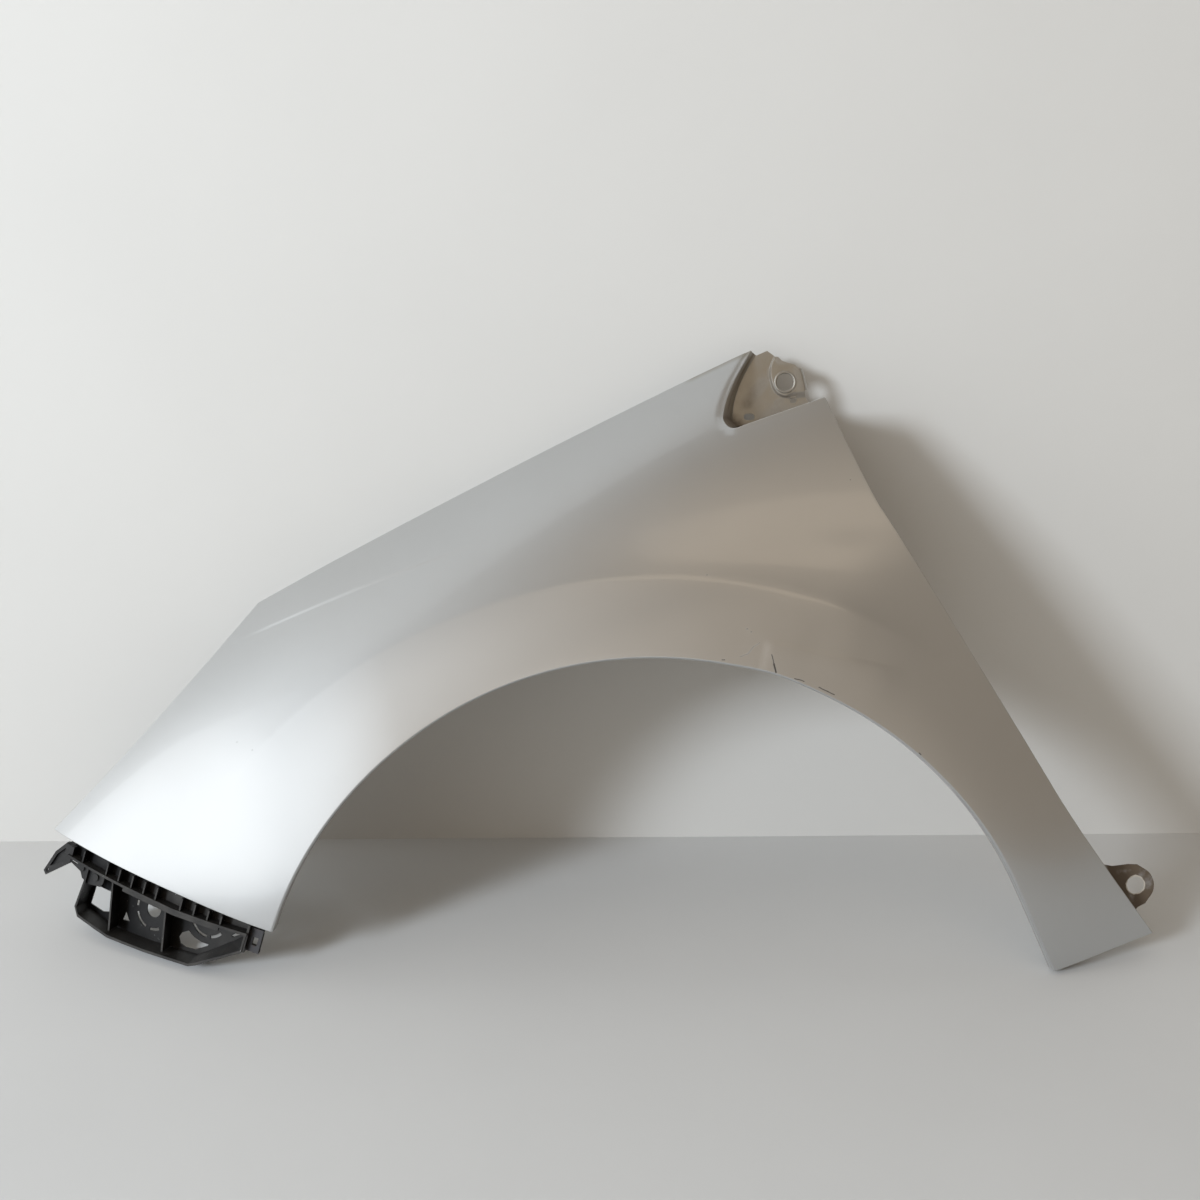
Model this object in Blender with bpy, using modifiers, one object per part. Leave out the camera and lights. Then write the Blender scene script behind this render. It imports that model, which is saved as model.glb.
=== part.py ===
import math

import bmesh
import bpy
from mathutils import Vector

# Car frame: x to the rear, y inboard, z up, with the wheel arch centre as drawing origin.
# Everything below is in millimetres and moved to the pillar pad, in metres, when built.
sheet = 0.8
gap = 0.3

# Wheel arch
arch_radius = 363.0
arch_front_angle = 142.9
arch_rear_angle = -6.8
arch_straight_angle = 7.0
crease_reach = 73.0
flare_height = 14.0

# Corners of the outline, as (x, z), each set off from the wheel arch
nose_tip = (-arch_radius - 145.5, arch_radius + 2.2)
hood_front = (-arch_radius + 120.0, arch_radius + 153.0)
hood_rear = (arch_radius - 53.5, arch_radius + 234.0)
door_top = (arch_radius - 12.5, arch_radius + 159.5)
door_shoulder = (arch_radius - 7.0, arch_radius + 45.0)
door_waist = (arch_radius + 59.0, 116.0)
door_bottom = (arch_radius + 113.0, -50.0)
headlight_bow = 7.5
hood_bow = 3.9
notch_floor_z = door_top[1]
notch_left_x = door_top[0] - 98.0
notch_corner = 15.0

# How far the skin lies inboard of its outermost plane
shoulder_inset = 118.0
shoulder_reach = 270.0
shoulder_power = 2.2
nose_sweep = 150.0
nose_sweep_start = -120.0
door_sweep = 14.0
door_sweep_start = 150.0
sill_tuck = 20.0
sill_tuck_start = 140.0
scoop_depth = 5.0
scoop_half_width = 27.0

# Flanges
bend_out = 0.9
bend_in = 2.5
arch_lip = 14.0
arch_lip_roll = 2.0
joint_flange = 30.0
headlight_flange = 16.0
door_flange = 20.0
sill_flange = 18.0
hood_wall = 25.0
hood_wall_lean = 6.5
hood_shelf = 32.0
hood_flange_end_x = 240.0
hood_bolt_radius = 4.2
hood_bolt_places = (-190.0, -20.0, 160.0)

# Pillar pad, with its boss outline measured from the big hole
pad_inset = 130.0
pad_wall_run = 7.0
pad_wall_spread = 18.0
pad_wall_depth = 60.0
pad_floor_run = 2.0
pad_hole = (door_top[0] - 18.3, door_top[1] + 34.0)
pad_hole_radius = 8.5
pad_collar_radius = 11.4
pad_collar_rise = 0.9
pad_slot = (notch_left_x + 34.8, notch_floor_z + 12.8)
pad_slot_size = (11.0, 6.6)
pad_oval = (door_top[0] - 15.9, notch_floor_z + 14.5)
pad_oval_size = (7.2, 5.6)
pad_slot_turn = -18.0
pad_top = (-6.6, 36.0)
boss_rise = 3.0
boss_foot = 1.8
boss_side = [(-1.6, 29.0), (-9.2, 21.6), (-12.4, 10.6), (-12.8, -0.6), (-9.4, -8.6), (-2.6, -13.6),
             (6.4, -17.2), (15.0, -21.4)]
boss_rim = [(16.2, -10.0), (17.4, 2.5), (17.2, 8.5), (14.8, 13.4), (9.8, 17.0), (4.2, 21.0), (1.2, 26.4)]
boss_rear_run = 4.0
boss_rear_drop = 5.0
mount_point = (pad_hole[0] - 29.8, pad_hole[1] - 7.6)

# Lower rear tab, its outline measured from the bolt hole
tab_inset = 52.0
tab_hole = (door_bottom[0] + 3.0, door_bottom[1] + 43.6)
tab_hole_radius = 8.1
tab_radius = 17.5
tab_top = [(-15.1, 23.8), (-7.1, 22.1), (-0.3, 20.8), (8.0, 17.7)]
tab_foot = [(3.2, -19.3), (-4.6, -20.4), (-7.6, -22.4)]
tab_root = (-25.6, 32.4)

# Bumper bracket, measured along the bumper joint (s), square below it (d) and inboard (e)
bracket_start = 21.5
bracket_end = 236.0
bracket_wall = 2.4
bracket_rib = 1.7
ledge_top = 16.2
ledge_rise = 5.7
ledge_bend = 100.0
ledge_front = 3.5
web_front = 34.0
web_thickness = 2.2
ladder_floor = 17.0
ladder_ribs = (50.0, 64.0, 79.0, 94.0, 122.5, 137.0, 152.0, 168.0, 184.0, 216.0)
ring_centre = (130.0, 35.5)
ring_hole_radius = 8.2
second_ring_centre = (69.0, 19.0)
ring_slot_radius = 19.3
ring_slot_width = 2.8
tray_front = 6.0
screw_places = (57.0, 176.0)
screw_inboard = 24.0
screw_radius = 2.4
screw_clearance = 0.6
screw_head_radius = 5.6
screw_boss_radius = 5.4
tongue_start = 7.6
tongue_top = 9.0
tongue_low = 26.5
tongue_front = 14.0
tongue_back = 16.4
clip_sheet = 1.0
curve_step = 20.0
render_steps = 24

for old in list(bpy.data.objects):
    bpy.data.objects.remove(old, do_unlink=True)

origin = Vector((mount_point[0], pad_inset + sheet, mount_point[1]))


def place(x, y, z):
    """Drawing millimetres to metres in the part's own frame."""
    return (Vector((x, y, z)) - origin) / 1000.0


def lerp(a, b, t):
    return (a[0] + (b[0] - a[0]) * t, a[1] + (b[1] - a[1]) * t)


def bezier(a, b, c, t):
    return lerp(lerp(a, b, t), lerp(b, c, t), t)


def smooth(t):
    t = max(0.0, min(1.0, t))
    return t * t * (3.0 - 2.0 * t)


def unit(x, z):
    length = math.hypot(x, z)
    return (x / length, z / length)


# Outline of the skin

def arch_point(angle):
    """Edge of the wheel arch: a circle that runs out straight at the sill."""
    radius = arch_radius + arch_lip_roll
    if angle < arch_straight_angle:
        radius /= math.cos(math.radians(arch_straight_angle - angle))
    turn = math.radians(angle)
    return (radius * math.cos(turn), radius * math.sin(turn))


def bowed(a, c, bow, t):
    """A nearly straight edge from a to c, bowed to its left by bow."""
    along = unit(c[0] - a[0], c[1] - a[1])
    middle = lerp(a, c, 0.5)
    control = (middle[0] - along[1] * bow * 2.0, middle[1] + along[0] * bow * 2.0)
    return bezier(a, control, c, t)


def headlight_edge(t):
    return bowed(nose_tip, hood_front, -headlight_bow, t)


def hood_edge(t):
    return bowed(hood_front, hood_rear, hood_bow, t)


notch_bottom_start = (notch_left_x + 16.5, notch_floor_z - 0.5)
notch_side_start = (notch_left_x + 1.5, notch_floor_z + notch_corner)
notch_bend = (notch_left_x - 1.0, notch_floor_z - 3.0)
notch_knee = bezier(notch_bottom_start, notch_bend, notch_side_start, 0.5)
notch_side_control = (notch_left_x + 13.5, notch_floor_z + 40.5)


def notch_side(t):
    """Left side of the recess, from its lower corner (0) up to the hood line (1)."""
    if t < 0.15:
        return bezier(notch_bottom_start, notch_bend, notch_side_start, 0.5 + t / 0.3)
    return bezier(notch_side_start, notch_side_control, hood_rear, (t - 0.15) / 0.85)


def notch_bottom(t):
    """Lower edge of the recess, from its corner (0) to the door edge (1)."""
    if t < 0.2:
        return bezier(notch_bottom_start, notch_bend, notch_side_start, 0.5 - t / 0.4)
    return lerp(notch_bottom_start, door_top, (t - 0.2) / 0.8)


def door_edge(t):
    """Door edge in three stretches: upper curve, long straight, and the kick at the sill."""
    if t < 0.22:
        return bezier(door_top, (349.0, 456.0), door_shoulder, t / 0.22)
    if t < 0.7:
        return lerp(door_shoulder, door_waist, (t - 0.22) / 0.48)
    slope = unit(door_waist[0] - door_shoulder[0], door_waist[1] - door_shoulder[1])
    control = (door_waist[0] + slope[0] * 60.0, door_waist[1] + slope[1] * 60.0)
    return bezier(door_waist, control, door_bottom, (t - 0.7) / 0.3)


# Depth of the skin

hood_along = unit(hood_rear[0] - hood_front[0], hood_rear[1] - hood_front[1])


def below_hood(x, z):
    """Distance down from the straight line between the two hood corners."""
    return hood_along[1] * (x - hood_front[0]) - hood_along[0] * (z - hood_front[1])


def crease_at(angle):
    """Distance of the flare's crease from the arch centre, growing towards the nose."""
    reach = crease_reach - 4.0 * math.sin(math.radians(3.0 * angle))
    return arch_radius + reach + 26.0 * smooth((angle - 96.0) / 40.0)


def flare_depth(x, z):
    """Outboard swell of the wheel arch, creased along its upper limit."""
    angle = math.degrees(math.atan2(z, x))
    out = math.hypot(x, z) - arch_radius
    reach = crease_at(angle) - arch_radius
    inside = 1.0 - 0.22 * (min(out, reach) / reach) ** 2
    sharp = inside * math.exp(-max(0.0, out - reach) / 46.0)
    soft = math.exp(-(max(0.0, out) / 88.0) ** 2)
    crease = smooth((angle - 34.0) / 16.0) * smooth((136.0 - angle) / 14.0)
    return -flare_height * (crease * sharp + (1.0 - crease) * soft)


def scoop(x, z):
    """Shallow hollow under the character line, fading forward from the door edge."""
    centre = door_shoulder[1] - 51.0 + (door_shoulder[0] - x) * 0.28
    width = scoop_half_width * (0.7 + 0.3 * smooth((x - 180.0) / 170.0))
    return scoop_depth * smooth((x - 130.0) / 190.0) * math.exp(-((z - centre) / width) ** 2)


def skin_depth(x, z):
    down = below_hood(x, z)
    inset = shoulder_inset + 16.0 * (hood_rear[0] - x) / (hood_rear[0] - hood_front[0])
    depth = inset * max(0.0, 1.0 - down / shoulder_reach) ** shoulder_power
    depth += nose_sweep * (max(0.0, nose_sweep_start - x) / 500.0) ** 2
    depth += door_sweep * (max(0.0, x - door_sweep_start) / 250.0) ** 2
    depth += sill_tuck * (max(0.0, sill_tuck_start - z) / 190.0) ** 2
    return depth + flare_depth(x, z) + scoop(x, z)


# The skin as a net: columns run round the arch, rows run outward from it

head_columns = 12
hood_columns = 22
recess_columns = 8
door_columns = 26
lip_rows = 4
side_rows = 9
top_rows = 10
knee_row = lip_rows + side_rows
split_angle = 64.0
split_foot = arch_point(split_angle)
to_knee = math.hypot(notch_knee[0] - split_foot[0], notch_knee[1] - split_foot[1])
to_hood = math.hypot(hood_rear[0] - notch_knee[0], hood_rear[1] - notch_knee[1])
knee_part = to_knee / (to_knee + to_hood)


def front_section(column):
    """Path from the arch to the headlight or hood edge, bent to meet the recess."""
    if column <= head_columns:
        share = column / head_columns
        foot = arch_point(arch_front_angle + (116.0 - arch_front_angle) * share)
        head = headlight_edge(share)
        bend = 0.0
    else:
        share = (column - head_columns) / hood_columns
        foot = arch_point(116.0 + (split_angle - 116.0) * share)
        head = hood_edge(share)
        bend = share ** 3

    def path(v):
        x, z = lerp(foot, head, v)
        if bend:
            straight = lerp(split_foot, hood_rear, v)
            if v < knee_part:
                bent = lerp(split_foot, notch_knee, v / knee_part)
            else:
                bent = notch_side((v - knee_part) / (1.0 - knee_part))
            x += bend * (bent[0] - straight[0])
            z += bend * (bent[1] - straight[1])
        return (x, z)

    return path


def rear_section(column):
    """Path from the arch to the lower edge of the recess or to the door edge."""
    if column <= recess_columns:
        share = column / recess_columns
        foot = arch_point(split_angle - 8.0 * share)
        head = notch_bottom(share)
    else:
        share = (column - recess_columns) / door_columns
        foot = arch_point(split_angle - 8.0 + (arch_rear_angle - split_angle + 8.0) * share)
        head = door_edge(share)
    return lambda v: lerp(foot, head, v)


def crease_part(path, most):
    """How far along a section the flare's crease is met."""
    low, high = 0.0, most
    for _ in range(30):
        middle = (low + high) / 2.0
        x, z = path(middle)
        if math.hypot(x, z) < crease_at(math.degrees(math.atan2(z, x))):
            low = middle
        else:
            high = middle
    return low


def section_points(path, knee, rows_above):
    """Points along one section, with rows on the crease and on the knee."""
    crease = crease_part(path, knee * 0.75)
    parts = [crease * row / lip_rows for row in range(lip_rows)]
    parts += [crease + (knee - crease) * row / side_rows for row in range(side_rows)]
    if rows_above:
        parts += [knee + (1.0 - knee) * row / rows_above for row in range(rows_above)]
    parts.append(1.0)
    return [path(part) for part in parts]


def skin_vertex(mesh, point, extra=0.0):
    return mesh.verts.new(place(point[0], skin_depth(*point) + extra, point[1]))


def net_faces(mesh, columns):
    for left, right in zip(columns, columns[1:]):
        for low in range(min(len(left), len(right)) - 1):
            mesh.faces.new((left[low], right[low], right[low + 1], left[low + 1]))


def edge_outward(points, index, side):
    """Unit direction square to a run of outline points, to its left (1) or right (-1)."""
    before = points[max(0, index - 1)]
    after = points[min(len(points) - 1, index + 1)]
    along = unit(after[0] - before[0], after[1] - before[1])
    return (-along[1] * side, along[0] * side)


def sheet_point(vertex):
    """Drawing coordinates of a vertex already placed."""
    return vertex.co * 1000.0 + origin


def fold(mesh, edge, profile, side, depths=None):
    """Folds a flange off a run of vertices: profile lists (outward, inboard) from the edge."""
    places = [sheet_point(vertex) for vertex in edge]
    flat = [(p.x, p.z) for p in places]
    rows = [edge]
    for step, (out, inward) in enumerate(profile):
        row = []
        for index, p in enumerate(places):
            away = edge_outward(flat, index, side)
            y = p.y + inward
            if depths and step == len(profile) - 1:
                y = depths[index]
            row.append(mesh.verts.new(place(p.x + away[0] * out, y, p.z + away[1] * out)))
        rows.append(row)
    for low, high in zip(rows, rows[1:]):
        joined_rows(mesh, low, high)
    return rows[-1]


def round_points(centre, radius, start, stop, count):
    """Points on an arc, angles in degrees."""
    points = []
    for index in range(count + 1):
        turn = math.radians(start + (stop - start) * index / count)
        points.append((centre[0] + radius * math.cos(turn), centre[1] + radius * math.sin(turn)))
    return points


def ring_points(centre, radius, count=24):
    """Points all the way round a circle."""
    return round_points(centre, radius, 0.0, 360.0 - 360.0 / count, count - 1)


def flat_row(mesh, points, y):
    return [mesh.verts.new(place(x, y, z)) for x, z in points]


def joined_rows(mesh, low, high):
    """Strip of faces between two open rows of vertices."""
    for index in range(len(low) - 1):
        mesh.faces.new((low[index], low[index + 1], high[index + 1], high[index]))


def fill_flat(mesh, loops):
    """Flat sheet inside the first loop of vertices, leaving the others open as holes."""
    edges = []
    for loop in loops:
        for index, vertex in enumerate(loop):
            pair = (vertex, loop[(index + 1) % len(loop)])
            edges.append(mesh.edges.get(pair) or mesh.edges.new(pair))
    bmesh.ops.triangle_fill(mesh, use_beauty=True, edges=edges, normal=(0.0, 1.0, 0.0))


def add_lower_tab(mesh, flange_end):
    """Lug with the lower bolt hole, running rearward from the door flange."""
    low, high = tab_hole[1] + tab_root[0], tab_hole[1] + tab_root[1]
    edge = [vertex for vertex in flange_end if low < sheet_point(vertex).z < high]
    outline = [(tab_hole[0] + x, tab_hole[1] + z) for x, z in tab_top]
    outline += round_points(tab_hole, tab_radius, 44.0, -60.0, 9)
    outline += [(tab_hole[0] + x, tab_hole[1] + z) for x, z in tab_foot]
    rest = flat_row(mesh, outline, tab_inset)
    fill_flat(mesh, [edge + rest[::-1], flat_row(mesh, ring_points(tab_hole, tab_hole_radius), tab_inset)])


def pad_point(offset):
    return (pad_hole[0] + offset[0], pad_hole[1] + offset[1])


def add_boss(mesh, foot):
    """Raised part of the pad, with a collar pressed round the big hole and a bent rear edge."""
    y = pad_inset - boss_rise
    top = []
    for point in [pad_point(offset) for offset in boss_side]:
        inward = unit(pad_hole[0] - point[0], pad_hole[1] - point[1])
        top.append((point[0] + inward[0] * boss_foot, point[1] + inward[1] * boss_foot))
    side = flat_row(mesh, top, y)
    joined_rows(mesh, foot, side)
    rim = flat_row(mesh, [pad_point(offset) for offset in boss_rim], y)
    rings = []
    for radius, rise in ((pad_collar_radius, 0.0), (pad_collar_radius - 0.6, pad_collar_rise),
                         (pad_hole_radius + 0.6, pad_collar_rise), (pad_hole_radius, 0.0)):
        rings.append(flat_row(mesh, ring_points(pad_hole, radius), y - rise))
    fill_flat(mesh, [side + rim, rings[0]])
    for low, high in zip(rings, rings[1:]):
        joined_rows(mesh, low + low[:1], high + high[:1])
    edge = [side[-1]] + rim[:3]
    turned = []
    for vertex in edge:
        p = sheet_point(vertex)
        turned.append(mesh.verts.new(place(p.x + boss_rear_run, p.y + boss_rear_drop, p.z)))
    joined_rows(mesh, edge, turned)


def add_pad(mesh, notch_row):
    """Pillar pad: recess wall, flat floor with its slots, and the boss."""
    places = [sheet_point(vertex) for vertex in notch_row]
    flat = [(p.x, p.z) for p in places]
    inner = []
    for index, p in enumerate(places):
        away = edge_outward(flat, index, 1)
        side_run = pad_wall_run + pad_wall_spread * ((pad_inset - p.y) / pad_wall_depth) ** 2
        run = pad_floor_run + (side_run - pad_floor_run) * smooth((away[0] - 0.1) / 0.5)
        x = min(p.x + away[0] * run, door_top[0])
        z = p.z + away[1] * min(run, pad_wall_run)
        inner.append(mesh.verts.new(place(x, pad_inset, z)))
    joined_rows(mesh, notch_row, inner)
    foot = flat_row(mesh, [pad_point(offset) for offset in boss_side], pad_inset)
    top = flat_row(mesh, [pad_point(pad_top)], pad_inset)
    slots = [flat_row(mesh, oval(pad_slot, pad_slot_size, pad_slot_turn), pad_inset),
             flat_row(mesh, oval(pad_oval, pad_oval_size, pad_slot_turn), pad_inset)]
    fill_flat(mesh, [inner + foot[::-1] + top] + slots)
    add_boss(mesh, foot)


def build_skin():
    """The whole pressed sheet as one open surface, flanges included."""
    mesh = bmesh.new()
    front_paths = [front_section(column) for column in range(head_columns + hood_columns + 1)]
    front = []
    for path in front_paths:
        points = section_points(path, knee_part, top_rows)
        front.append([skin_vertex(mesh, point) for point in points])
    rear = [front[-1][:knee_row + 1]]
    for column in range(1, recess_columns + door_columns + 1):
        points = section_points(rear_section(column), 1.0, 0)
        rear.append([skin_vertex(mesh, point) for point in points])
    net_faces(mesh, front)
    net_faces(mesh, rear)

    small_bend = [(bend_out * 0.7, 0.7), (bend_out, bend_in)]
    arch_row = [column[0] for column in front] + [column[0] for column in rear[1:]]
    lip = [(arch_lip_roll * 0.6, 0.8), (arch_lip_roll, 2.6), (arch_lip_roll, arch_lip)]
    fold(mesh, arch_row, lip, -1)
    joint_row = front[0]
    fold(mesh, joint_row, small_bend + [(bend_out, joint_flange)], 1)
    head_row = [column[-1] for column in front[:head_columns + 1]]
    fold(mesh, head_row, small_bend + [(bend_out, headlight_flange)], 1)
    hood_row = [column[-1] for column in front[head_columns:]]
    rolled = fold(mesh, hood_row, [(bend_out * 0.7, 0.9), (bend_out, 3.0)], 1)
    walled = [vertex for vertex in rolled if sheet_point(vertex).x < hood_flange_end_x]
    wall = [(-hood_wall, hood_wall_lean - bend_in), (-hood_wall - 1.8, hood_wall_lean),
            (-hood_wall - 2.6, hood_wall_lean + hood_shelf)]
    fold(mesh, walled, wall, 1)
    notch_row = front[-1][knee_row:][::-1] + [column[-1] for column in rear[1:recess_columns + 1]]
    add_pad(mesh, notch_row)
    door_row = [column[-1] for column in rear[recess_columns:]]
    depths = []
    for vertex in door_row:
        p = sheet_point(vertex)
        at_tab = tab_root[0] < p.z - tab_hole[1] < tab_root[1]
        depths.append(tab_inset if at_tab else p.y + door_flange)
    flange_end = fold(mesh, door_row, small_bend + [(bend_out, door_flange)], 1, depths)
    add_lower_tab(mesh, flange_end)
    fold(mesh, rear[-1], small_bend + [(bend_out, sill_flange)], -1)

    bmesh.ops.recalc_face_normals(mesh, faces=mesh.faces[:])
    facing = sum(face.normal.y * face.calc_area() for face in mesh.faces)
    if facing > 0.0:
        bmesh.ops.reverse_faces(mesh, faces=mesh.faces[:])
    return mesh


# Scene helpers

part_collection = bpy.data.collections.new("car_fender")
cutter_collection = bpy.data.collections.new("cutters")
bpy.context.scene.collection.children.link(part_collection)
bpy.context.scene.collection.children.link(cutter_collection)


def object_from(mesh, name, collection):
    data = bpy.data.meshes.new(name)
    mesh.to_mesh(data)
    mesh.free()
    thing = bpy.data.objects.new(name, data)
    collection.objects.link(thing)
    return thing


def make_material(name, colour, roughness, metallic, coat=0.0):
    material = bpy.data.materials.new(name)
    material.use_nodes = True
    shader = material.node_tree.nodes["Principled BSDF"]
    shader.inputs["Base Color"].default_value = (*colour, 1.0)
    shader.inputs["Roughness"].default_value = roughness
    shader.inputs["Metallic"].default_value = metallic
    shader.inputs["Coat Weight"].default_value = coat
    return material


def prism(mesh, outline, corner):
    """Closed solid from two matching rings: corner(point, end) gives a ring's place."""
    low = [mesh.verts.new(corner(point, 0)) for point in outline]
    high = [mesh.verts.new(corner(point, 1)) for point in outline]
    new = [mesh.faces.new(low[::-1]), mesh.faces.new(high)]
    count = len(outline)
    for index in range(count):
        after = (index + 1) % count
        new.append(mesh.faces.new((low[index], low[after], high[after], high[index])))
    bmesh.ops.recalc_face_normals(mesh, faces=new)


def cut(target, cutter):
    cutter.hide_render = True
    cutter.display_type = 'WIRE'
    step = target.modifiers.new(cutter.name, 'BOOLEAN')
    step.operation = 'DIFFERENCE'
    step.solver = 'EXACT'
    step.object = cutter


def oval(centre, size, turn):
    """Slot outline with round ends, size is overall length and width."""
    radius = size[1] / 2.0
    half = size[0] / 2.0 - radius
    points = round_points((half, 0.0), radius, -90.0, 90.0, 8)
    points += round_points((-half, 0.0), radius, 90.0, 270.0, 8)
    c, s = math.cos(math.radians(turn)), math.sin(math.radians(turn))
    return [(centre[0] + c * x - s * z, centre[1] + s * x + c * z) for x, z in points]


# Bumper joint frame: s along the joint from the arch, d square below it, e inboard

joint_start = arch_point(arch_front_angle)
joint_along = unit(nose_tip[0] - joint_start[0], nose_tip[1] - joint_start[1])
joint_down = (-joint_along[1], joint_along[0])


def joint_depth(s):
    """Inset of the joint edge, taken where the skin lies."""
    return skin_depth(joint_start[0] + joint_along[0] * s, joint_start[1] + joint_along[1] * s)


def joint_place(s, d, e):
    x = joint_start[0] + joint_along[0] * s + joint_down[0] * d
    z = joint_start[1] + joint_along[1] * s + joint_down[1] * d
    return place(x, joint_depth(s) + e, z)


def build_fender():
    fender = object_from(build_skin(), "fender_panel", part_collection)
    thick = fender.modifiers.new("sheet", 'SOLIDIFY')
    thick.thickness = sheet / 1000.0
    thick.offset = -1.0
    thick.use_even_offset = True
    holes = bmesh.new()
    for x in hood_bolt_places:
        share = (x - hood_front[0]) / (hood_rear[0] - hood_front[0])
        line = hood_edge(share)
        y = skin_depth(*line) + hood_wall_lean + hood_shelf * 0.6
        ring = ring_points((line[0], y), hood_bolt_radius)
        top = line[1] - hood_wall + 12.0
        low = line[1] - hood_wall - 16.0
        prism(holes, ring, lambda p, end: place(p[0], p[1], (low, top)[end]))
    for s in screw_places:
        ring = ring_points((s, screw_inboard), screw_radius + screw_clearance)
        prism(holes, ring, lambda p, end: joint_square(s, p[0] - s, (-4.0, 5.0)[end], p[1]))
    cutter = object_from(holes, "fender_holes", cutter_collection)
    cut(fender, cutter)
    fender.data.materials.append(make_material("silver_paint", (0.62, 0.63, 0.64), 0.28, 0.85, 0.6))
    finish(fender)
    return fender


def joint_square(s, along, d, e):
    """Place near station s without the bracket's curve, for round things."""
    x = joint_start[0] + joint_along[0] * (s + along) + joint_down[0] * d
    z = joint_start[1] + joint_along[1] * (s + along) + joint_down[1] * d
    return place(x, joint_depth(s) + e, z)


def finish(thing):
    for face in thing.data.polygons:
        face.use_smooth = True
    thing.data.set_sharp_from_angle(angle=math.radians(32.0))


# Bumper bracket, drawn flat in (s, d, e) and curved afterwards

def slab(mesh, outline, front, back):
    """Flat solid with its outline in s and d."""
    prism(mesh, outline, lambda p, end: Vector((p[0], p[1], (front, back)[end])))


def box(mesh, s0, s1, d0, d1, e0, e1):
    slab(mesh, [(s0, d0), (s1, d0), (s1, d1), (s0, d1)], e0, e1)


def beside(path, width):
    """The path moved sideways, to its right."""
    moved = []
    for index, point in enumerate(path):
        away = edge_outward(path, index, -1)
        moved.append((point[0] + away[0] * width, point[1] + away[1] * width))
    return moved


def band(path, width):
    """Closed outline of a wall that follows a path, thickened to its right."""
    return path + beside(path, width)[::-1]


tray_path = [(206.0, 17.5), (206.0, 32.0), (209.0, 59.0), (204.5, 64.5), (164.0, 68.0),
             (120.0, 64.0), (71.0, 58.0), (64.5, 54.5), (24.5, 28.0), (24.5, 11.8)]
tray_back_path = tray_path[:6] + [(71.0, 57.0), (61.0, 49.5), (24.5, 19.5), (24.5, 11.8)]
ear_outline = [(233.0, 9.0), (243.0, 7.4), (256.0, 22.5), (266.0, 46.5), (261.5, 49.5), (233.0, 25.0)]
plate_outline = [(234.5, 17.4), (234.5, 23.0), (217.0, 26.5), (213.0, 31.5), (203.5, 34.0),
                 (188.0, 30.5), (185.5, 26.0), (185.5, 17.4)]
first_window = [(203.4, 40.5), (182.0, 39.5), (177.5, 58.0), (187.0, 61.5), (204.4, 60.5)]
tear_window = [(160.0, 50.0), (161.5, 59.0), (153.0, 57.5)]
second_window = [(95.6, 50.0), (93.5, 44.6), (86.8, 40.2), (80.0, 43.6), (70.5, 45.2), (63.2, 44.4),
                 (63.4, 46.2), (75.5, 54.6), (86.0, 56.2), (92.5, 54.8)]
corner_slot = [(31.5, 22.2), (37.4, 23.2), (42.5, 28.4), (40.2, 28.8)]


def upright_ring(s, e, radius):
    """Ring in s and e that turns out round once the bracket is curved."""
    ring = []
    for along, inboard in ring_points((0.0, 0.0), radius):
        ring.append((s + along, e + inboard + joint_depth(s) - joint_depth(s + along)))
    return ring


def leaning_wall(mesh, front_path, back_path, front, back):
    """Wall between two matching paths, one at its front edge and one at its back edge."""
    outlines = (band(front_path, bracket_wall), band(back_path, bracket_wall))
    places = list(range(len(outlines[0])))
    prism(mesh, places, lambda p, end: Vector((*outlines[end][p], (front, back)[end])))


def ledge_at(s):
    """Top of the ledge, which rises towards the joint near the wheel arch."""
    return ledge_top - ledge_rise * max(0.0, (ledge_bend - s) / (ledge_bend - bracket_start))


def ledge_line(start, stop, drop):
    """Run of points at a fixed distance below the ledge's top."""
    return [(s, ledge_at(s) + drop) for s in (start, ledge_bend, stop)]


def bracket_solids():
    mesh = bmesh.new()
    back = web_front + web_thickness
    ledge = ledge_line(bracket_start, bracket_end, 0.0)
    slab(mesh, ledge + ledge_line(bracket_start, bracket_end, bracket_wall)[::-1], ledge_front, back + 0.4)
    rim = ledge_line(50.0, 160.0, bracket_wall - 0.6) + ledge_line(50.0, 160.0, bracket_wall + 3.4)[::-1]
    slab(mesh, rim, ledge_front + 0.7, ledge_front + 4.0)
    left, right, top = bracket_start + 0.7, bracket_end - 0.7, bend_out + gap + 1.4
    slab(mesh, [(right, top), (left, top)] + ledge_line(left, right, 0.8), ladder_floor, ladder_floor + 2.0)
    for s in ladder_ribs:
        half = bracket_rib / 2.0
        box(mesh, s - half, s + half, 4.6, ledge_at(s) + 0.7, 5.2, ladder_floor + 0.9)
    web = beside(tray_back_path, 0.9) + [(ledge_bend, ledge_top + 1.3)]
    slab(mesh, web, web_front, back)
    leaning_wall(mesh, tray_path, tray_back_path, tray_front, back - 0.5)
    for top, foot in (((178.0, 17.9), (167.0, 66.5)), ((112.5, 18.1), (104.0, 61.2))):
        slab(mesh, band([foot, top], 2.0), 12.0, web_front + 0.6)
    slab(mesh, plate_outline, 9.0, 11.4)
    for centre in ((216.0, 22.0), (196.0, 24.0)):
        slab(mesh, round_points(centre, 3.6, 0.0, 330.0, 11), 7.4, 10.0)
    slab(mesh, ear_outline, 8.4, 13.6)
    box(mesh, 231.0, 242.0, 7.9, 17.1, 5.8, 18.2)
    box(mesh, 20.8, 23.0, 3.2, 29.0, 6.7, back - 0.9)
    box(mesh, tongue_start, bracket_start + 0.2, tongue_top, tongue_low, tongue_front, tongue_back)
    for s in screw_places:
        prism(mesh, upright_ring(s, screw_inboard, screw_boss_radius),
              lambda p, end: Vector((p[0], (bend_out + gap, ledge_at(s) + 1.1)[end], p[1])))
    return mesh


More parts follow.
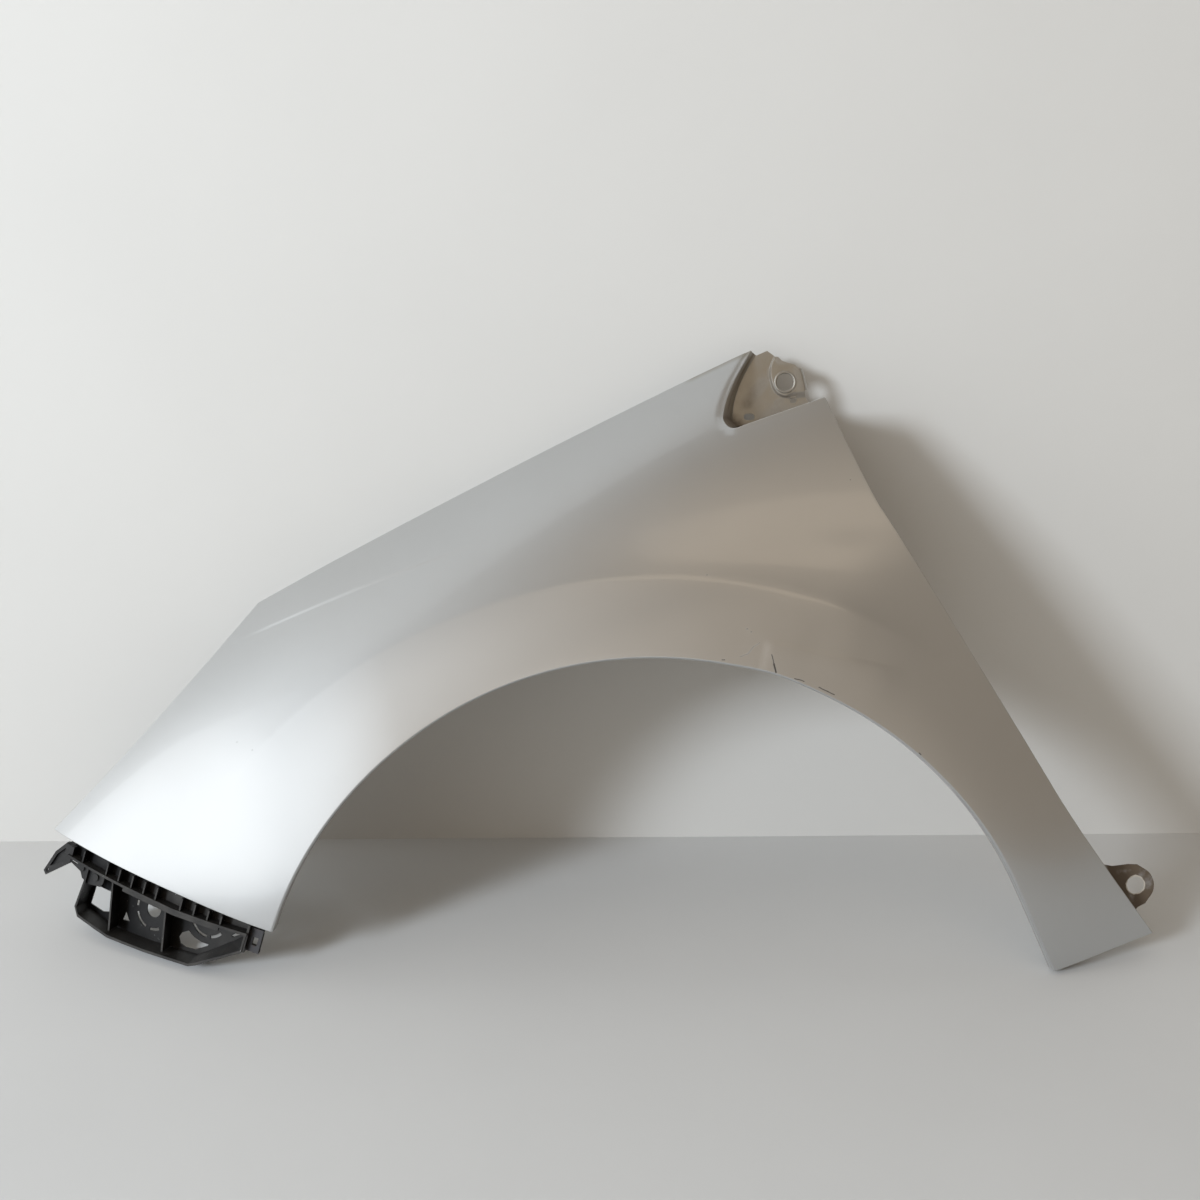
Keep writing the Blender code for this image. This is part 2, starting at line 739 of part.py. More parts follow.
def bracket_openings():
    mesh = bmesh.new()
    front, back = web_front - 3.0, web_front + web_thickness + 3.0
    for outline in (first_window, tear_window, second_window, corner_slot):
        slab(mesh, outline, front, back)
    slab(mesh, ring_points(ring_centre, ring_hole_radius), front, back)
    arcs = ((ring_centre, 28.0, 78.0), (ring_centre, 93.0, 125.0), (ring_centre, -4.0, 12.0),
            (second_ring_centre, 30.0, 96.0), (second_ring_centre, 108.0, 144.0))
    for centre, start, stop in arcs:
        outer = round_points(centre, ring_slot_radius + ring_slot_width / 2.0, start, stop, 8)
        inner = round_points(centre, ring_slot_radius - ring_slot_width / 2.0, start, stop, 8)
        slab(mesh, outer + inner[::-1], front, back)
    ear_pocket = [(236.5, 12.0), (242.0, 12.0), (253.0, 24.0), (259.0, 39.0), (237.0, 22.5)]
    slab(mesh, ear_pocket, 6.0, 11.2)
    slab(mesh, round_points((261.0, 44.2), 2.1, 0.0, 330.0, 11), 5.0, 20.0)
    box(mesh, 223.0, 231.6, 19.6, 22.4, 7.0, 14.0)
    box(mesh, 11.5, 16.5, 14.0, 21.5, 12.0, 19.0)
    for s in screw_places:
        prism(mesh, upright_ring(s, screw_inboard, screw_radius + gap),
              lambda p, end: Vector((p[0], (-1.0, ledge_at(s) - 1.7)[end], p[1])))
    return mesh


def flat_result(solids, openings, name):
    """Unites overlapping solids, cuts the openings and returns the flat mesh."""
    blank = object_from(solids, name + "_blank", cutter_collection)
    cutter = object_from(openings, name + "_openings", cutter_collection)
    cut(blank, cutter)
    blank.modifiers[0].use_self = True
    bpy.context.view_layer.update()
    data = bpy.data.meshes.new_from_object(blank.evaluated_get(bpy.context.evaluated_depsgraph_get()))
    flat = bmesh.new()
    flat.from_mesh(data)
    bpy.data.meshes.remove(data)
    bpy.data.objects.remove(blank, do_unlink=True)
    bpy.data.objects.remove(cutter, do_unlink=True)
    return flat


def build_bracket():
    flat = flat_result(bracket_solids(), bracket_openings(), "bracket")
    station = bracket_start - 0.2
    while station < bracket_end + curve_step:
        everything = flat.verts[:] + flat.edges[:] + flat.faces[:]
        bmesh.ops.bisect_plane(flat, geom=everything, dist=0.001, plane_co=(station, 0.0, 0.0),
                               plane_no=(1.0, 0.0, 0.0))
        station += curve_step
    bmesh.ops.triangulate(flat, faces=flat.faces[:])
    for vertex in flat.verts:
        vertex.co = joint_place(*vertex.co)
    bmesh.ops.recalc_face_normals(flat, faces=flat.faces[:])
    bracket = object_from(flat, "bumper_bracket", part_collection)
    bracket.data.materials.append(make_material("black_plastic", (0.02, 0.02, 0.021), 0.55, 0.0))
    return bracket


def build_clip():
    """Spring steel clip folded over the bracket's rear tongue."""
    mesh = bmesh.new()
    front, back = tongue_front - gap, tongue_back + gap
    top, fold_inside = tongue_top - 3.0, tongue_low + gap
    fold_outside = fold_inside + clip_sheet
    profile = [(top, front - clip_sheet), (fold_outside, front - clip_sheet),
               (fold_outside, back + clip_sheet), (top, back + clip_sheet),
               (top, back), (fold_inside, back), (fold_inside, front), (top, front)]
    sides = (tongue_start + 0.6, bracket_start - 1.6)
    prism(mesh, profile, lambda p, end: Vector((sides[end], p[0], p[1])))
    hole = bmesh.new()
    box(hole, 11.5, 16.5, 14.0, 21.5, 10.0, 21.0)
    flat = flat_result(mesh, hole, "clip")
    bmesh.ops.triangulate(flat, faces=flat.faces[:])
    for vertex in flat.verts:
        vertex.co = joint_place(*vertex.co)
    bmesh.ops.recalc_face_normals(flat, faces=flat.faces[:])
    clip = object_from(flat, "spring_clip", part_collection)
    clip.data.materials.append(make_material("black_steel", (0.06, 0.06, 0.065), 0.45, 0.8))
    return clip


def build_screw(name, s):
    """Pan head screw from above the joint flange down into the bracket's boss."""
    mesh = bmesh.new()
    head_low = bend_out - sheet - gap
    tip = ledge_at(s) - 2.8
    profile = [(0.0, head_low - 3.2), (3.0, head_low - 3.0), (screw_head_radius, head_low - 1.6),
               (screw_head_radius, head_low), (screw_radius, head_low), (screw_radius, tip - 1.9),
               (0.0, tip)]
    rings = []
    for radius, d in profile:
        if radius == 0.0:
            rings.append([mesh.verts.new(joint_square(s, 0.0, d, screw_inboard))])
            continue
        ring = []
        for step in range(render_steps):
            turn = math.tau * step / render_steps
            along, inboard = radius * math.cos(turn), radius * math.sin(turn)
            ring.append(mesh.verts.new(joint_square(s, along, d, screw_inboard + inboard)))
        rings.append(ring)
    for low, high in zip(rings, rings[1:]):
        for step in range(render_steps):
            after = (step + 1) % render_steps
            if len(low) == 1:
                mesh.faces.new((low[0], high[after], high[step]))
            elif len(high) == 1:
                mesh.faces.new((low[step], low[after], high[0]))
            else:
                mesh.faces.new((low[step], low[after], high[after], high[step]))
    bmesh.ops.recalc_face_normals(mesh, faces=mesh.faces[:])
    screw = object_from(mesh, name, part_collection)
    screw.data.materials.append(make_material(name + "_steel", (0.35, 0.34, 0.32), 0.4, 0.9))
    finish(screw)
    return screw


build_fender()
build_bracket()
build_clip()
build_screw("rear_screw", screw_places[0])
build_screw("front_screw", screw_places[1])
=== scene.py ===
import math

import bmesh
import bpy
from mathutils import Matrix, Vector, noise


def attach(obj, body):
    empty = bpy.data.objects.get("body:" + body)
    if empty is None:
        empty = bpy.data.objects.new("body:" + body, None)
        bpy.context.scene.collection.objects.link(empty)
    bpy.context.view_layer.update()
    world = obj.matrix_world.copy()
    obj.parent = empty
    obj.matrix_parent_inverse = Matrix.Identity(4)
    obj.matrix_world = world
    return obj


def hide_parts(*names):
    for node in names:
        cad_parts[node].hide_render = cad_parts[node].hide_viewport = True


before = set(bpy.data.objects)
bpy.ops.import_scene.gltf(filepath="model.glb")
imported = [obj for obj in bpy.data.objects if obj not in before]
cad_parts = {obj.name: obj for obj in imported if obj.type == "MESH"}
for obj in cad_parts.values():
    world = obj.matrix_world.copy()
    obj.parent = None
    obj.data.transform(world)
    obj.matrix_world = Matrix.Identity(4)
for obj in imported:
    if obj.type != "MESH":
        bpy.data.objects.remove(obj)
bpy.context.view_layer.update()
print("frame loaded,", len(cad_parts), "pieces")

# drawing millimetres: x to the rear, y inboard, z up, from the wheel arch centre
drawingOrigin = (302.4, 130.8, 548.9)


def place(x, y, z):
    return (Vector((x, y, z)) - Vector(drawingOrigin)) / 1000.0


def drawn(vertex):
    return vertex.co * 1000.0 + Vector(drawingOrigin)


def lerp(a, b, t):
    return (a[0] + (b[0] - a[0]) * t, a[1] + (b[1] - a[1]) * t)


def bezier(a, b, c, t):
    return lerp(lerp(a, b, t), lerp(b, c, t), t)


def smooth(t):
    t = max(0.0, min(1.0, t))
    return t * t * (3.0 - 2.0 * t)


def unit(x, z):
    length = math.hypot(x, z)
    return (x / length, z / length)


# the painted panel: its outline as drawing (x, z), and how far each part of the skin lies inboard
panel = {
    "archRadius": 365.0,
    "archFrontAngle": 142.9,
    "archRearAngle": -6.8,
    "archStraight": 7.0,       # below this angle the arch edge runs straight down
    "noseTip": (-508.5, 365.2),
    "hoodFront": (-243.0, 516.0),
    "hoodRear": (309.5, 597.0),
    "doorTop": (350.5, 522.5),
    "doorShoulder": (356.0, 408.0),
    "doorWaist": (422.0, 116.0),
    "doorBottom": (476.0, -50.0),
    "notchLeft": 252.5,
    "notchFloor": 522.5,
    "headlightBow": -7.5,
    "hoodBow": 3.9,
    "sheet": 0.8,
    "hoodInset": (118.0, 16.0),   # at the hood's rear corner, and how much more at its front
    "hoodRoll": (270.0, 2.2),     # how far down it reaches, and how sharply it turns in
    "noseStart": -120.0,
    "noseSweep": (150.0, 500.0),  # depth, and over what length it comes
    "doorStart": 150.0,
    "doorHollow": (14.0, 250.0),
    "sillStart": 140.0,
    "sillTuck": (20.0, 190.0),
    "scoopDepth": 1.1,
    "scoopWidth": 36.0,
    "recessRoll": 2.4,            # rolled edge in front of the recess
    "recessRollWidth": 4.5,
    "archPush": 1.6,              # the arch edge is knocked up beside the crack
    "archPushAngle": 54.0,
    "lipBend": (2.0, 2.6),
    "lipSteps": (3.4, 11.4),
    "smallBend": (0.9, 2.5),
    "hoodBend": (0.9, 3.0),
    "jointFlange": 30.0,
    "headlightFlange": 16.0,
    "doorFlange": 20.0,
    "sillFlange": 18.0,
    "edgeSoil": 0.65,
    "shelfEnd": 240.0,            # the shelf under the hood stops before the recess
    "shelfDrop": 25.0,
    "shelfWidth": 38.5,
    "headAngle": 116.0,           # where on the arch the net changes from part to part
    "kneeAngle": 64.0,
    "recessAngle": 56.0,
    "headColumns": 48,
    "hoodColumns": 80,
    "recessColumns": 34,
    "doorColumns": 104,
    "lipRows": 12,
    "sideRows": 34,
    "topRows": 34,
    "bendSteps": 5,
}

# the flare round the wheel arch: creased in the middle, soft towards both ends
flare = {
    "height": 14.0,
    "start": 363.0,            # the radius it is measured from
    "reach": 73.0,             # how far out the crease lies
    "wave": 4.0,
    "lift": 8.0,
    "steps": [(-14.5, 38.0, 36.0), (6.5, 84.0, 22.0)],   # change in reach, from an angle, over degrees
    "noseStep": (26.0, 96.0, 40.0),
    "dip": 0.22,
    "creaseRadius": 2.0,
    "sharpFall": 46.0,
    "softFall": 88.0,
    "rearEnd": (34.0, 16.0),
    "frontEnd": (136.0, 14.0),
}

# the fine step pressed along the shoulder; its ends are in metres from its middle
shoulder = {
    "middle": (-131.2, 494.4),
    "slope": 0.0482,
    "bow": -0.139,
    "front": (-0.15, -0.09),
    "rear": (0.15, 0.03),
    "rise": 0.3,
    "half": 4.0,
    "fade": 20.0,
    "bumpHalf": 0.0019,
}

# wear of this one example: the shallow dent from the crack to the rear, and waviness round the crack
dent = {
    "line": [(216.1, 327.6), (332.2, 257.0)],
    "depth": 0.4,
    "half": 5.0,
    "fade": 13.0,
    "front": (4.0, 12.0),
    "rear": (2.0, 36.0),
    "bumpHalf": 0.0034,
    "waveHeight": 0.6,
    "waveLength": 34.0,
    "waveCentre": (232.0, 300.0),
    "waveSpread": (60.0, 45.0),
}


def awayFromLine(x, z, line):
    nearest = 1e9
    for a, b in zip(line, line[1:]):
        dx, dz = b[0] - a[0], b[1] - a[1]
        t = max(0.0, min(1.0, ((x - a[0]) * dx + (z - a[1]) * dz) / (dx * dx + dz * dz)))
        nearest = min(nearest, math.hypot(x - a[0] - dx * t, z - a[1] - dz * t))
    return nearest


def archPoint(angle):
    radius = panel["archRadius"]
    if angle < panel["archStraight"]:
        radius /= math.cos(math.radians(panel["archStraight"] - angle))
    radius += panel["archPush"] * math.exp(-((angle - panel["archPushAngle"]) / 5.0) ** 2)
    turn = math.radians(angle)
    return (radius * math.cos(turn), radius * math.sin(turn))


def bowed(a, c, bow, t):
    along = unit(c[0] - a[0], c[1] - a[1])
    middle = lerp(a, c, 0.5)
    return bezier(a, (middle[0] - along[1] * bow * 2.0, middle[1] + along[0] * bow * 2.0), c, t)


def headlightEdge(t):
    return bowed(panel["noseTip"], panel["hoodFront"], panel["headlightBow"], t)


def hoodEdge(t):
    return bowed(panel["hoodFront"], panel["hoodRear"], panel["hoodBow"], t)


notchLeft, notchFloor = panel["notchLeft"], panel["notchFloor"]
notchBottomStart = (notchLeft + 16.5, notchFloor - 0.5)
notchSideStart = (notchLeft + 1.5, notchFloor + 15.0)
notchTop = (notchLeft + 13.5, notchFloor + 40.5)
notchBend = (notchLeft - 1.0, notchFloor - 3.0)
notchKnee = bezier(notchBottomStart, notchBend, notchSideStart, 0.5)


def notchSide(t):
    if t < 0.15:
        return bezier(notchBottomStart, notchBend, notchSideStart, 0.5 + t / 0.3)
    return bezier(notchSideStart, notchTop, panel["hoodRear"], (t - 0.15) / 0.85)


def notchBottom(t):
    if t < 0.2:
        return bezier(notchBottomStart, notchBend, notchSideStart, 0.5 - t / 0.4)
    return lerp(notchBottomStart, panel["doorTop"], (t - 0.2) / 0.8)


def doorEdge(t):
    if t < 0.22:
        return bezier(panel["doorTop"], (349.0, 456.0), panel["doorShoulder"], t / 0.22)
    if t < 0.7:
        return lerp(panel["doorShoulder"], panel["doorWaist"], (t - 0.22) / 0.48)
    shoulderEnd, waist = panel["doorShoulder"], panel["doorWaist"]
    slope = unit(waist[0] - shoulderEnd[0], waist[1] - shoulderEnd[1])
    control = (waist[0] + slope[0] * 60.0, waist[1] + slope[1] * 60.0)
    return bezier(waist, control, panel["doorBottom"], (t - 0.7) / 0.3)


hoodLength = panel["hoodRear"][0] - panel["hoodFront"][0]
hoodAlong = unit(hoodLength, panel["hoodRear"][1] - panel["hoodFront"][1])
notchSideLine = [notchSide(step / 24.0) for step in range(25)]


def stepUp(angle, change, start, span):
    return change * smooth((angle - start) / span)


def creaseAt(angle):
    reach = flare["reach"] - flare["wave"] * math.sin(math.radians(3.0 * angle))
    steps = flare["lift"]
    for step in flare["steps"]:
        steps += stepUp(angle, *step)
    reach += steps
    return flare["start"] + reach + stepUp(angle, *flare["noseStep"])


def flareDepth(x, z):
    angle = math.degrees(math.atan2(z, x))
    out = math.hypot(x, z) - flare["start"]
    reach = creaseAt(angle) - flare["start"]
    inside = 1.0 - flare["dip"] * (min(out, reach) / reach) ** 2
    beyond = math.hypot(max(0.0, out - reach), flare["creaseRadius"]) - flare["creaseRadius"]
    sharp = inside * math.exp(-beyond / flare["sharpFall"])
    soft = math.exp(-(max(0.0, out) / flare["softFall"]) ** 2)
    (rear, rearSpan), (front, frontSpan) = flare["rearEnd"], flare["frontEnd"]
    crease = smooth((angle - rear) / rearSpan) * smooth((front - angle) / frontSpan)
    return -flare["height"] * (crease * sharp + (1.0 - crease) * soft)


# the slight hollow that runs from the recess down towards the door
def scoop(x, z):
    centre = 357.0 + (panel["doorShoulder"][0] - x) * 0.28
    width = panel["scoopWidth"] * (0.7 + 0.3 * smooth((x - 180.0) / 170.0))
    return panel["scoopDepth"] * smooth((x - 130.0) / 190.0) * math.exp(-((z - centre) / width) ** 2)


# how far the skin stands out above the fine step along the shoulder
def shoulderRise(x, z):
    along = (x - shoulder["middle"][0]) / 1000.0
    above = z - shoulder["middle"][1] - 1000.0 * along * (shoulder["slope"] + shoulder["bow"] * along)
    (a, b), (c, d) = shoulder["front"], shoulder["rear"]
    ends = smooth((along - a) / (b - a)) * smooth((c - along) / (c - d))
    half = shoulder["half"]
    fade = math.exp(-(max(0.0, above - half) / shoulder["fade"]) ** 2)
    return shoulder["rise"] * ends * smooth((above + half) / (2.0 * half)) * fade


# how far the skin stands out below the dent beside the crack
def dentRise(x, z):
    (ax, az), (bx, bz) = dent["line"]
    dx, dz = bx - ax, bz - az
    length = math.hypot(dx, dz)
    along = ((x - ax) * dx + (z - az) * dz) / length
    below = ((x - ax) * dz - (z - az) * dx) / length
    (before, rising), (past, falling) = dent["front"], dent["rear"]
    ends = smooth((along + before) / rising) * smooth((length + past - along) / falling)
    half = dent["half"]
    fade = math.exp(-(max(0.0, below - half) / dent["fade"]) ** 2)
    return dent["depth"] * ends * smooth((below + half) / (2.0 * half)) * fade


def waviness(x, z):
    (cx, cz), (wide, high) = dent["waveCentre"], dent["waveSpread"]
    atCrack = math.exp(-((x - cx) / wide) ** 2 - ((z - cz) / high) ** 2)
    return atCrack * dent["waveHeight"] * noise.noise(Vector((x, 0.0, z)) / dent["waveLength"])


def hollow(part, run):
    deep, length = panel[part]
    return deep * (max(0.0, run) / length) ** 2


def skinDepth(x, z):
    down = hoodAlong[1] * (x - panel["hoodFront"][0]) - hoodAlong[0] * (z - panel["hoodFront"][1])
    rearInset, more = panel["hoodInset"]
    rollLength, rollPower = panel["hoodRoll"]
    inset = rearInset + more * (panel["hoodRear"][0] - x) / hoodLength
    depth = inset * max(0.0, 1.0 - down / rollLength) ** rollPower
    depth += hollow("noseSweep", panel["noseStart"] - x)
    depth += hollow("doorHollow", x - panel["doorStart"])
    depth += hollow("sillTuck", panel["sillStart"] - z)
    depth += flareDepth(x, z) + scoop(x, z)
    if x > 225.0 and z > 505.0:   # only near the recess
        away = awayFromLine(x, z, notchSideLine)
        roll = panel["recessRoll"] * math.exp(-(away / panel["recessRollWidth"]) ** 2)
        depth += roll * smooth((z - 512.0) / 26.0)
    return depth + (waviness(x, z) - dentRise(x, z) - shoulderRise(x, z))


splitFoot = archPoint(panel["kneeAngle"])
toKnee = math.hypot(notchKnee[0] - splitFoot[0], notchKnee[1] - splitFoot[1])
toHood = math.hypot(panel["hoodRear"][0] - notchKnee[0], panel["hoodRear"][1] - notchKnee[1])
kneePart = toKnee / (toKnee + toHood)


# straight paths from an arc of the arch edge to another edge
def straightSection(first, last, edge):
    start, stop = panel[first], panel[last]

    def section(share):
        foot = archPoint(start + (stop - start) * share)
        return lambda v: lerp(foot, edge(share), v)

    return section


headSection = straightSection("archFrontAngle", "headAngle", headlightEdge)
recessSection = straightSection("kneeAngle", "recessAngle", notchBottom)
doorSection = straightSection("recessAngle", "archRearAngle", doorEdge)


# paths to the hood edge, bent more and more until the last follows the recess
def hoodSection(share):
    foot = archPoint(panel["headAngle"] - (panel["headAngle"] - panel["kneeAngle"]) * share)
    head, bend = hoodEdge(share), share ** 3

    def path(v):
        x, z = lerp(foot, head, v)
        straight = lerp(splitFoot, panel["hoodRear"], v)
        if v < kneePart:
            bent = lerp(splitFoot, notchKnee, v / kneePart)
        else:
            bent = notchSide((v - kneePart) / (1.0 - kneePart))
        return (x + bend * (bent[0] - straight[0]), z + bend * (bent[1] - straight[1]))

    return path


# share of the path at which it crosses the crease, found by halving
def creasePart(path, most):
    low, high = 0.0, most
    for _ in range(24):
        middle = (low + high) / 2.0
        x, z = path(middle)
        if math.hypot(x, z) < creaseAt(math.degrees(math.atan2(z, x))):
            low = middle
        else:
            high = middle
    return low


def sectionPoints(path, knee, rowsAbove):
    crease = creasePart(path, knee * 0.75)
    parts = [crease * row / panel["lipRows"] for row in range(panel["lipRows"])]
    parts += [crease + (knee - crease) * row / panel["sideRows"] for row in range(panel["sideRows"])]
    if rowsAbove:
        parts += [knee + (1.0 - knee) * row / rowsAbove for row in range(rowsAbove)]
    return [path(part) for part in parts + [1.0]]


def outward(points, index, side):
    before, after = points[max(0, index - 1)], points[min(len(points) - 1, index + 1)]
    along = unit(after[0] - before[0], after[1] - before[1])
    return (-along[1] * side, along[0] * side)


def joinRows(mesh, rows):
    for low, high in zip(rows, rows[1:]):
        for index in range(len(low) - 1):
            mesh.faces.new((low[index], low[index + 1], high[index + 1], high[index]))


# flange folded off the skin: profile lists (outward, inboard) from the edge
def foldEdge(mesh, edge, profile, side, depths=None, darkened=0.0):
    dirtAndShade = mesh.verts.layers.float["dirtAndShade"]
    flat = [(drawn(v).x, drawn(v).z) for v in edge]
    rows = [edge]
    for step, (out, inward) in enumerate(profile):
        row = []
        for index, vertex in enumerate(edge):
            away, p = outward(flat, index, side), drawn(vertex)
            y = p.y + inward
            if depths and step == len(profile) - 1:
                y = depths[index]
            new = mesh.verts.new(place(p.x + away[0] * out, y, p.z + away[1] * out))
            new[dirtAndShade] = darkened
            row.append(new)
        rows.append(row)
    joinRows(mesh, rows)
    return rows[-1]


# a rounded fold from the skin to a flange square to it
def quarterBend(out, inward):
    steps = panel["bendSteps"]
    turns = [math.pi / 2.0 * (step + 1) / steps for step in range(steps)]
    return [(out * math.sin(t), inward * (1.0 - math.cos(t))) for t in turns]


def arc(centre, radius, start, stop, count):
    turns = [math.radians(start + (stop - start) * index / count) for index in range(count + 1)]
    return [(centre[0] + radius * math.cos(t), centre[1] + radius * math.sin(t)) for t in turns]


def ring(centre, radius, count=48):
    return arc(centre, radius, 0.0, 360.0 - 360.0 / count, count - 1)


# the same run of points with its corners cut off, ends kept
def rounded(points, cuts=2):
    for _ in range(cuts):
        run = [points[0]]
        for a, b in zip(points, points[1:]):
            run += [lerp(a, b, 0.25), lerp(a, b, 0.75)]
        points = run + [points[-1]]
    return points


def flatRow(mesh, points, y):
    return [mesh.verts.new(place(x, y, z)) for x, z in points]


def fillFlat(mesh, loops):
    edges = []
    for loop in loops:
        for index, vertex in enumerate(loop):
            pair = (vertex, loop[(index + 1) % len(loop)])
            edges.append(mesh.edges.get(pair) or mesh.edges.new(pair))
    bmesh.ops.triangle_fill(mesh, use_beauty=True, edges=edges, normal=(0.0, 1.0, 0.0))


lug = {
    "inset": 52.0,
    "hole": (479.0, -6.4),
    "holeRadius": 8.1,
    "ragged": 0.7,             # how far rust has eaten the hole's edge, in mm
    "radius": 17.5,
    "top": [(-15.1, 23.8), (-7.1, 22.1), (-0.3, 20.8), (8.0, 17.7)],
    "foot": [(3.2, -19.3), (-4.6, -20.4), (-7.6, -22.4)],
    "root": (-25.6, 32.4),
    "soilWithin": [(0.152, 0.158), (-0.084, -0.0795), (-0.45, -0.5)],   # x, y and z of the frame
}


def addLug(mesh, flangeEnd):
    hx, hz = lug["hole"]
    edge = [v for v in flangeEnd if hz + lug["root"][0] < drawn(v).z < hz + lug["root"][1]]
    outline = [(hx + x, hz + z) for x, z in lug["top"]]
    outline += arc(lug["hole"], lug["radius"], 44.0, -60.0, 24)
    outline += [(hx + x, hz + z) for x, z in lug["foot"]]
    hole = []
    for x, z in ring(lug["hole"], lug["holeRadius"]):
        eaten = 1.0 + lug["ragged"] / lug["holeRadius"] * noise.noise(Vector((x, 3.0, z)) / 2.6)
        hole.append((hx + (x - hx) * eaten, hz + (z - hz) * eaten))
    fillFlat(mesh, [edge + flatRow(mesh, outline, lug["inset"])[::-1], flatRow(mesh, hole, lug["inset"])])


pad = {
    "inset": 130.0,
    "wallRun": 7.0,
    "wallSpread": 18.0,
    "wallSteps": 8,
    "wallBend": 1.2,           # rounded edge where the wall leaves the skin
    "hole": (332.2, 556.5),
    "holeRadius": 8.5,
    "collarRadius": 11.4,
    "collarRise": 0.9,
    "collarSteps": 6,
    "slot": ((287.3, 535.3), (11.0, 6.6)),
    "oval": ((334.6, 537.0), (7.2, 5.6)),
    "turn": -18.0,
    "top": (-6.6, 36.0),
    "bossRise": 3.0,
    "bossSteps": 5,
    # darkening of the boss's sloping side: dirt plus painted shade
    "bossDirtAndShade": 0.9,
    "bossFoot": 2.4,
    "bossFade": 4.8,           # the boss runs out more gently below the hole
    "bossSide": [(-1.6, 29.0), (-9.2, 21.6), (-13.4, 11.6), (-14.6, -0.6), (-11.8, -9.6), (-4.6, -15.4),
                 (5.4, -18.8), (15.0, -21.4)],
    # stains on the pad, except the first, which is a painted shade line in the crease at the boss's upper
    # left foot
    "stainsAndShade": [((318.4, 566.0), (321.4, 573.5), 0.6, 2.6), ((317.0, 539.5), (323.0, 540.5), 0.6, 5.0),
               ((333.0, 579.0), (343.0, 575.0), 0.5, 6.0), ((290.0, 549.0), (312.0, 563.0), 1.0, 9.0),
               ((344.0, 548.0), (347.0, 566.0), 0.5, 6.0)],
    "soilWithin": [(-0.012, -0.006), (-0.07, -0.055)],   # y and x of the frame
    # darkening of the recess wall, along its middle and towards its lower corner: dirt plus painted shade
    "cornerDirtAndShade": (556.0, 22.0),   # below this height, over this much
    "wallDirtAndShade": 0.85,
    "turnedEdge": [(1.6, 0.6), (3.2, 2.4), (4.0, 5.0)],
    "bossRim": [(16.2, -10.0), (17.4, 2.5), (17.2, 8.5), (14.8, 13.4), (9.8, 17.0), (4.2, 21.0), (1.2, 26.4)],
}


def padPoint(offset):
    return (pad["hole"][0] + offset[0], pad["hole"][1] + offset[1])


def oval(centre, size, turn):
    radius = size[1] / 2.0
    half = size[0] / 2.0 - radius
    points = arc((half, 0.0), radius, -90.0, 90.0, 12) + arc((-half, 0.0), radius, 90.0, 270.0, 12)
    c, s = math.cos(math.radians(turn)), math.sin(math.radians(turn))
    return [(centre[0] + c * x - s * z, centre[1] + s * x + c * z) for x, z in points]


# rises from 0 to 1, straight between two rounded ends
def filleted(u, corner=0.3):
    slope = 1.0 / (1.0 - corner)
    if u < corner:
        return slope * u * u / (2.0 * corner)
    if u > 1.0 - corner:
        return 1.0 - slope * (1.0 - u) ** 2 / (2.0 * corner)
    return slope * (u - corner / 2.0)


# recess wall from the skin to the floor, as (share of the run, share of the drop, bend)
def wallProfile():
    steps = [(0.0, 0.0, turn) for turn in (0.4, 0.8, 1.2, 1.5)]
    for step in range(1, pad["wallSteps"] + 1):
        u = step / pad["wallSteps"]
        steps.append((u, u / 0.85 if u < 0.7 else 1.0 - (1.0 - u) ** 2 / 0.51, 1.5))
    return steps


def addPad(mesh, notchRow):
    places = [drawn(v) for v in notchRow]
    flat = [(p.x, p.z) for p in places]
    rows, bend = [notchRow], pad["wallBend"]
    dirtAndShade = mesh.verts.layers.float["dirtAndShade"]
    for u, drop, turn in wallProfile():
        row = []
        for index, p in enumerate(places):
            away = outward(flat, index, 1)
            sideRun = pad["wallRun"] + pad["wallSpread"] * ((pad["inset"] - p.y) / 60.0) ** 2
            run = 2.0 + (sideRun - 2.0) * smooth((away[0] - 0.1) / 0.5)
            out, lowRun = bend * math.sin(turn), min(run, pad["wallRun"])
            x = min(p.x + away[0] * (out + (run - out) * u), panel["doorTop"][0])
            z = p.z + away[1] * (out + (lowRun - out) * u)
            y = p.y + bend * (1.0 - math.cos(turn))
            vertex = mesh.verts.new(place(x, y + (pad["inset"] - y) * drop, z))
            # the recess wall is darkened along its middle and at its lower corner: dirt plus painted shade in
            # the recess
            corner = smooth((pad["cornerDirtAndShade"][0] - p.z) / pad["cornerDirtAndShade"][1])
            line = math.exp(-((u - 0.45) / 0.2) ** 2)
            vertex[dirtAndShade] = pad["wallDirtAndShade"] * (line + (1.0 - line) * corner) * smooth((turn - 0.9) / 0.6)
            row.append(vertex)
        rows.append(row)
    joinRows(mesh, rows)
    side = rounded(pad["bossSide"])
    foot = flatRow(mesh, [padPoint(offset) for offset in side], pad["inset"])
    top = flatRow(mesh, [padPoint(pad["top"])], pad["inset"])
    slots = [flatRow(mesh, oval(*pad[name], pad["turn"]), pad["inset"]) for name in ("slot", "oval")]
    fillFlat(mesh, [rows[-1] + foot[::-1] + top] + slots)
    addBoss(mesh, foot, side)


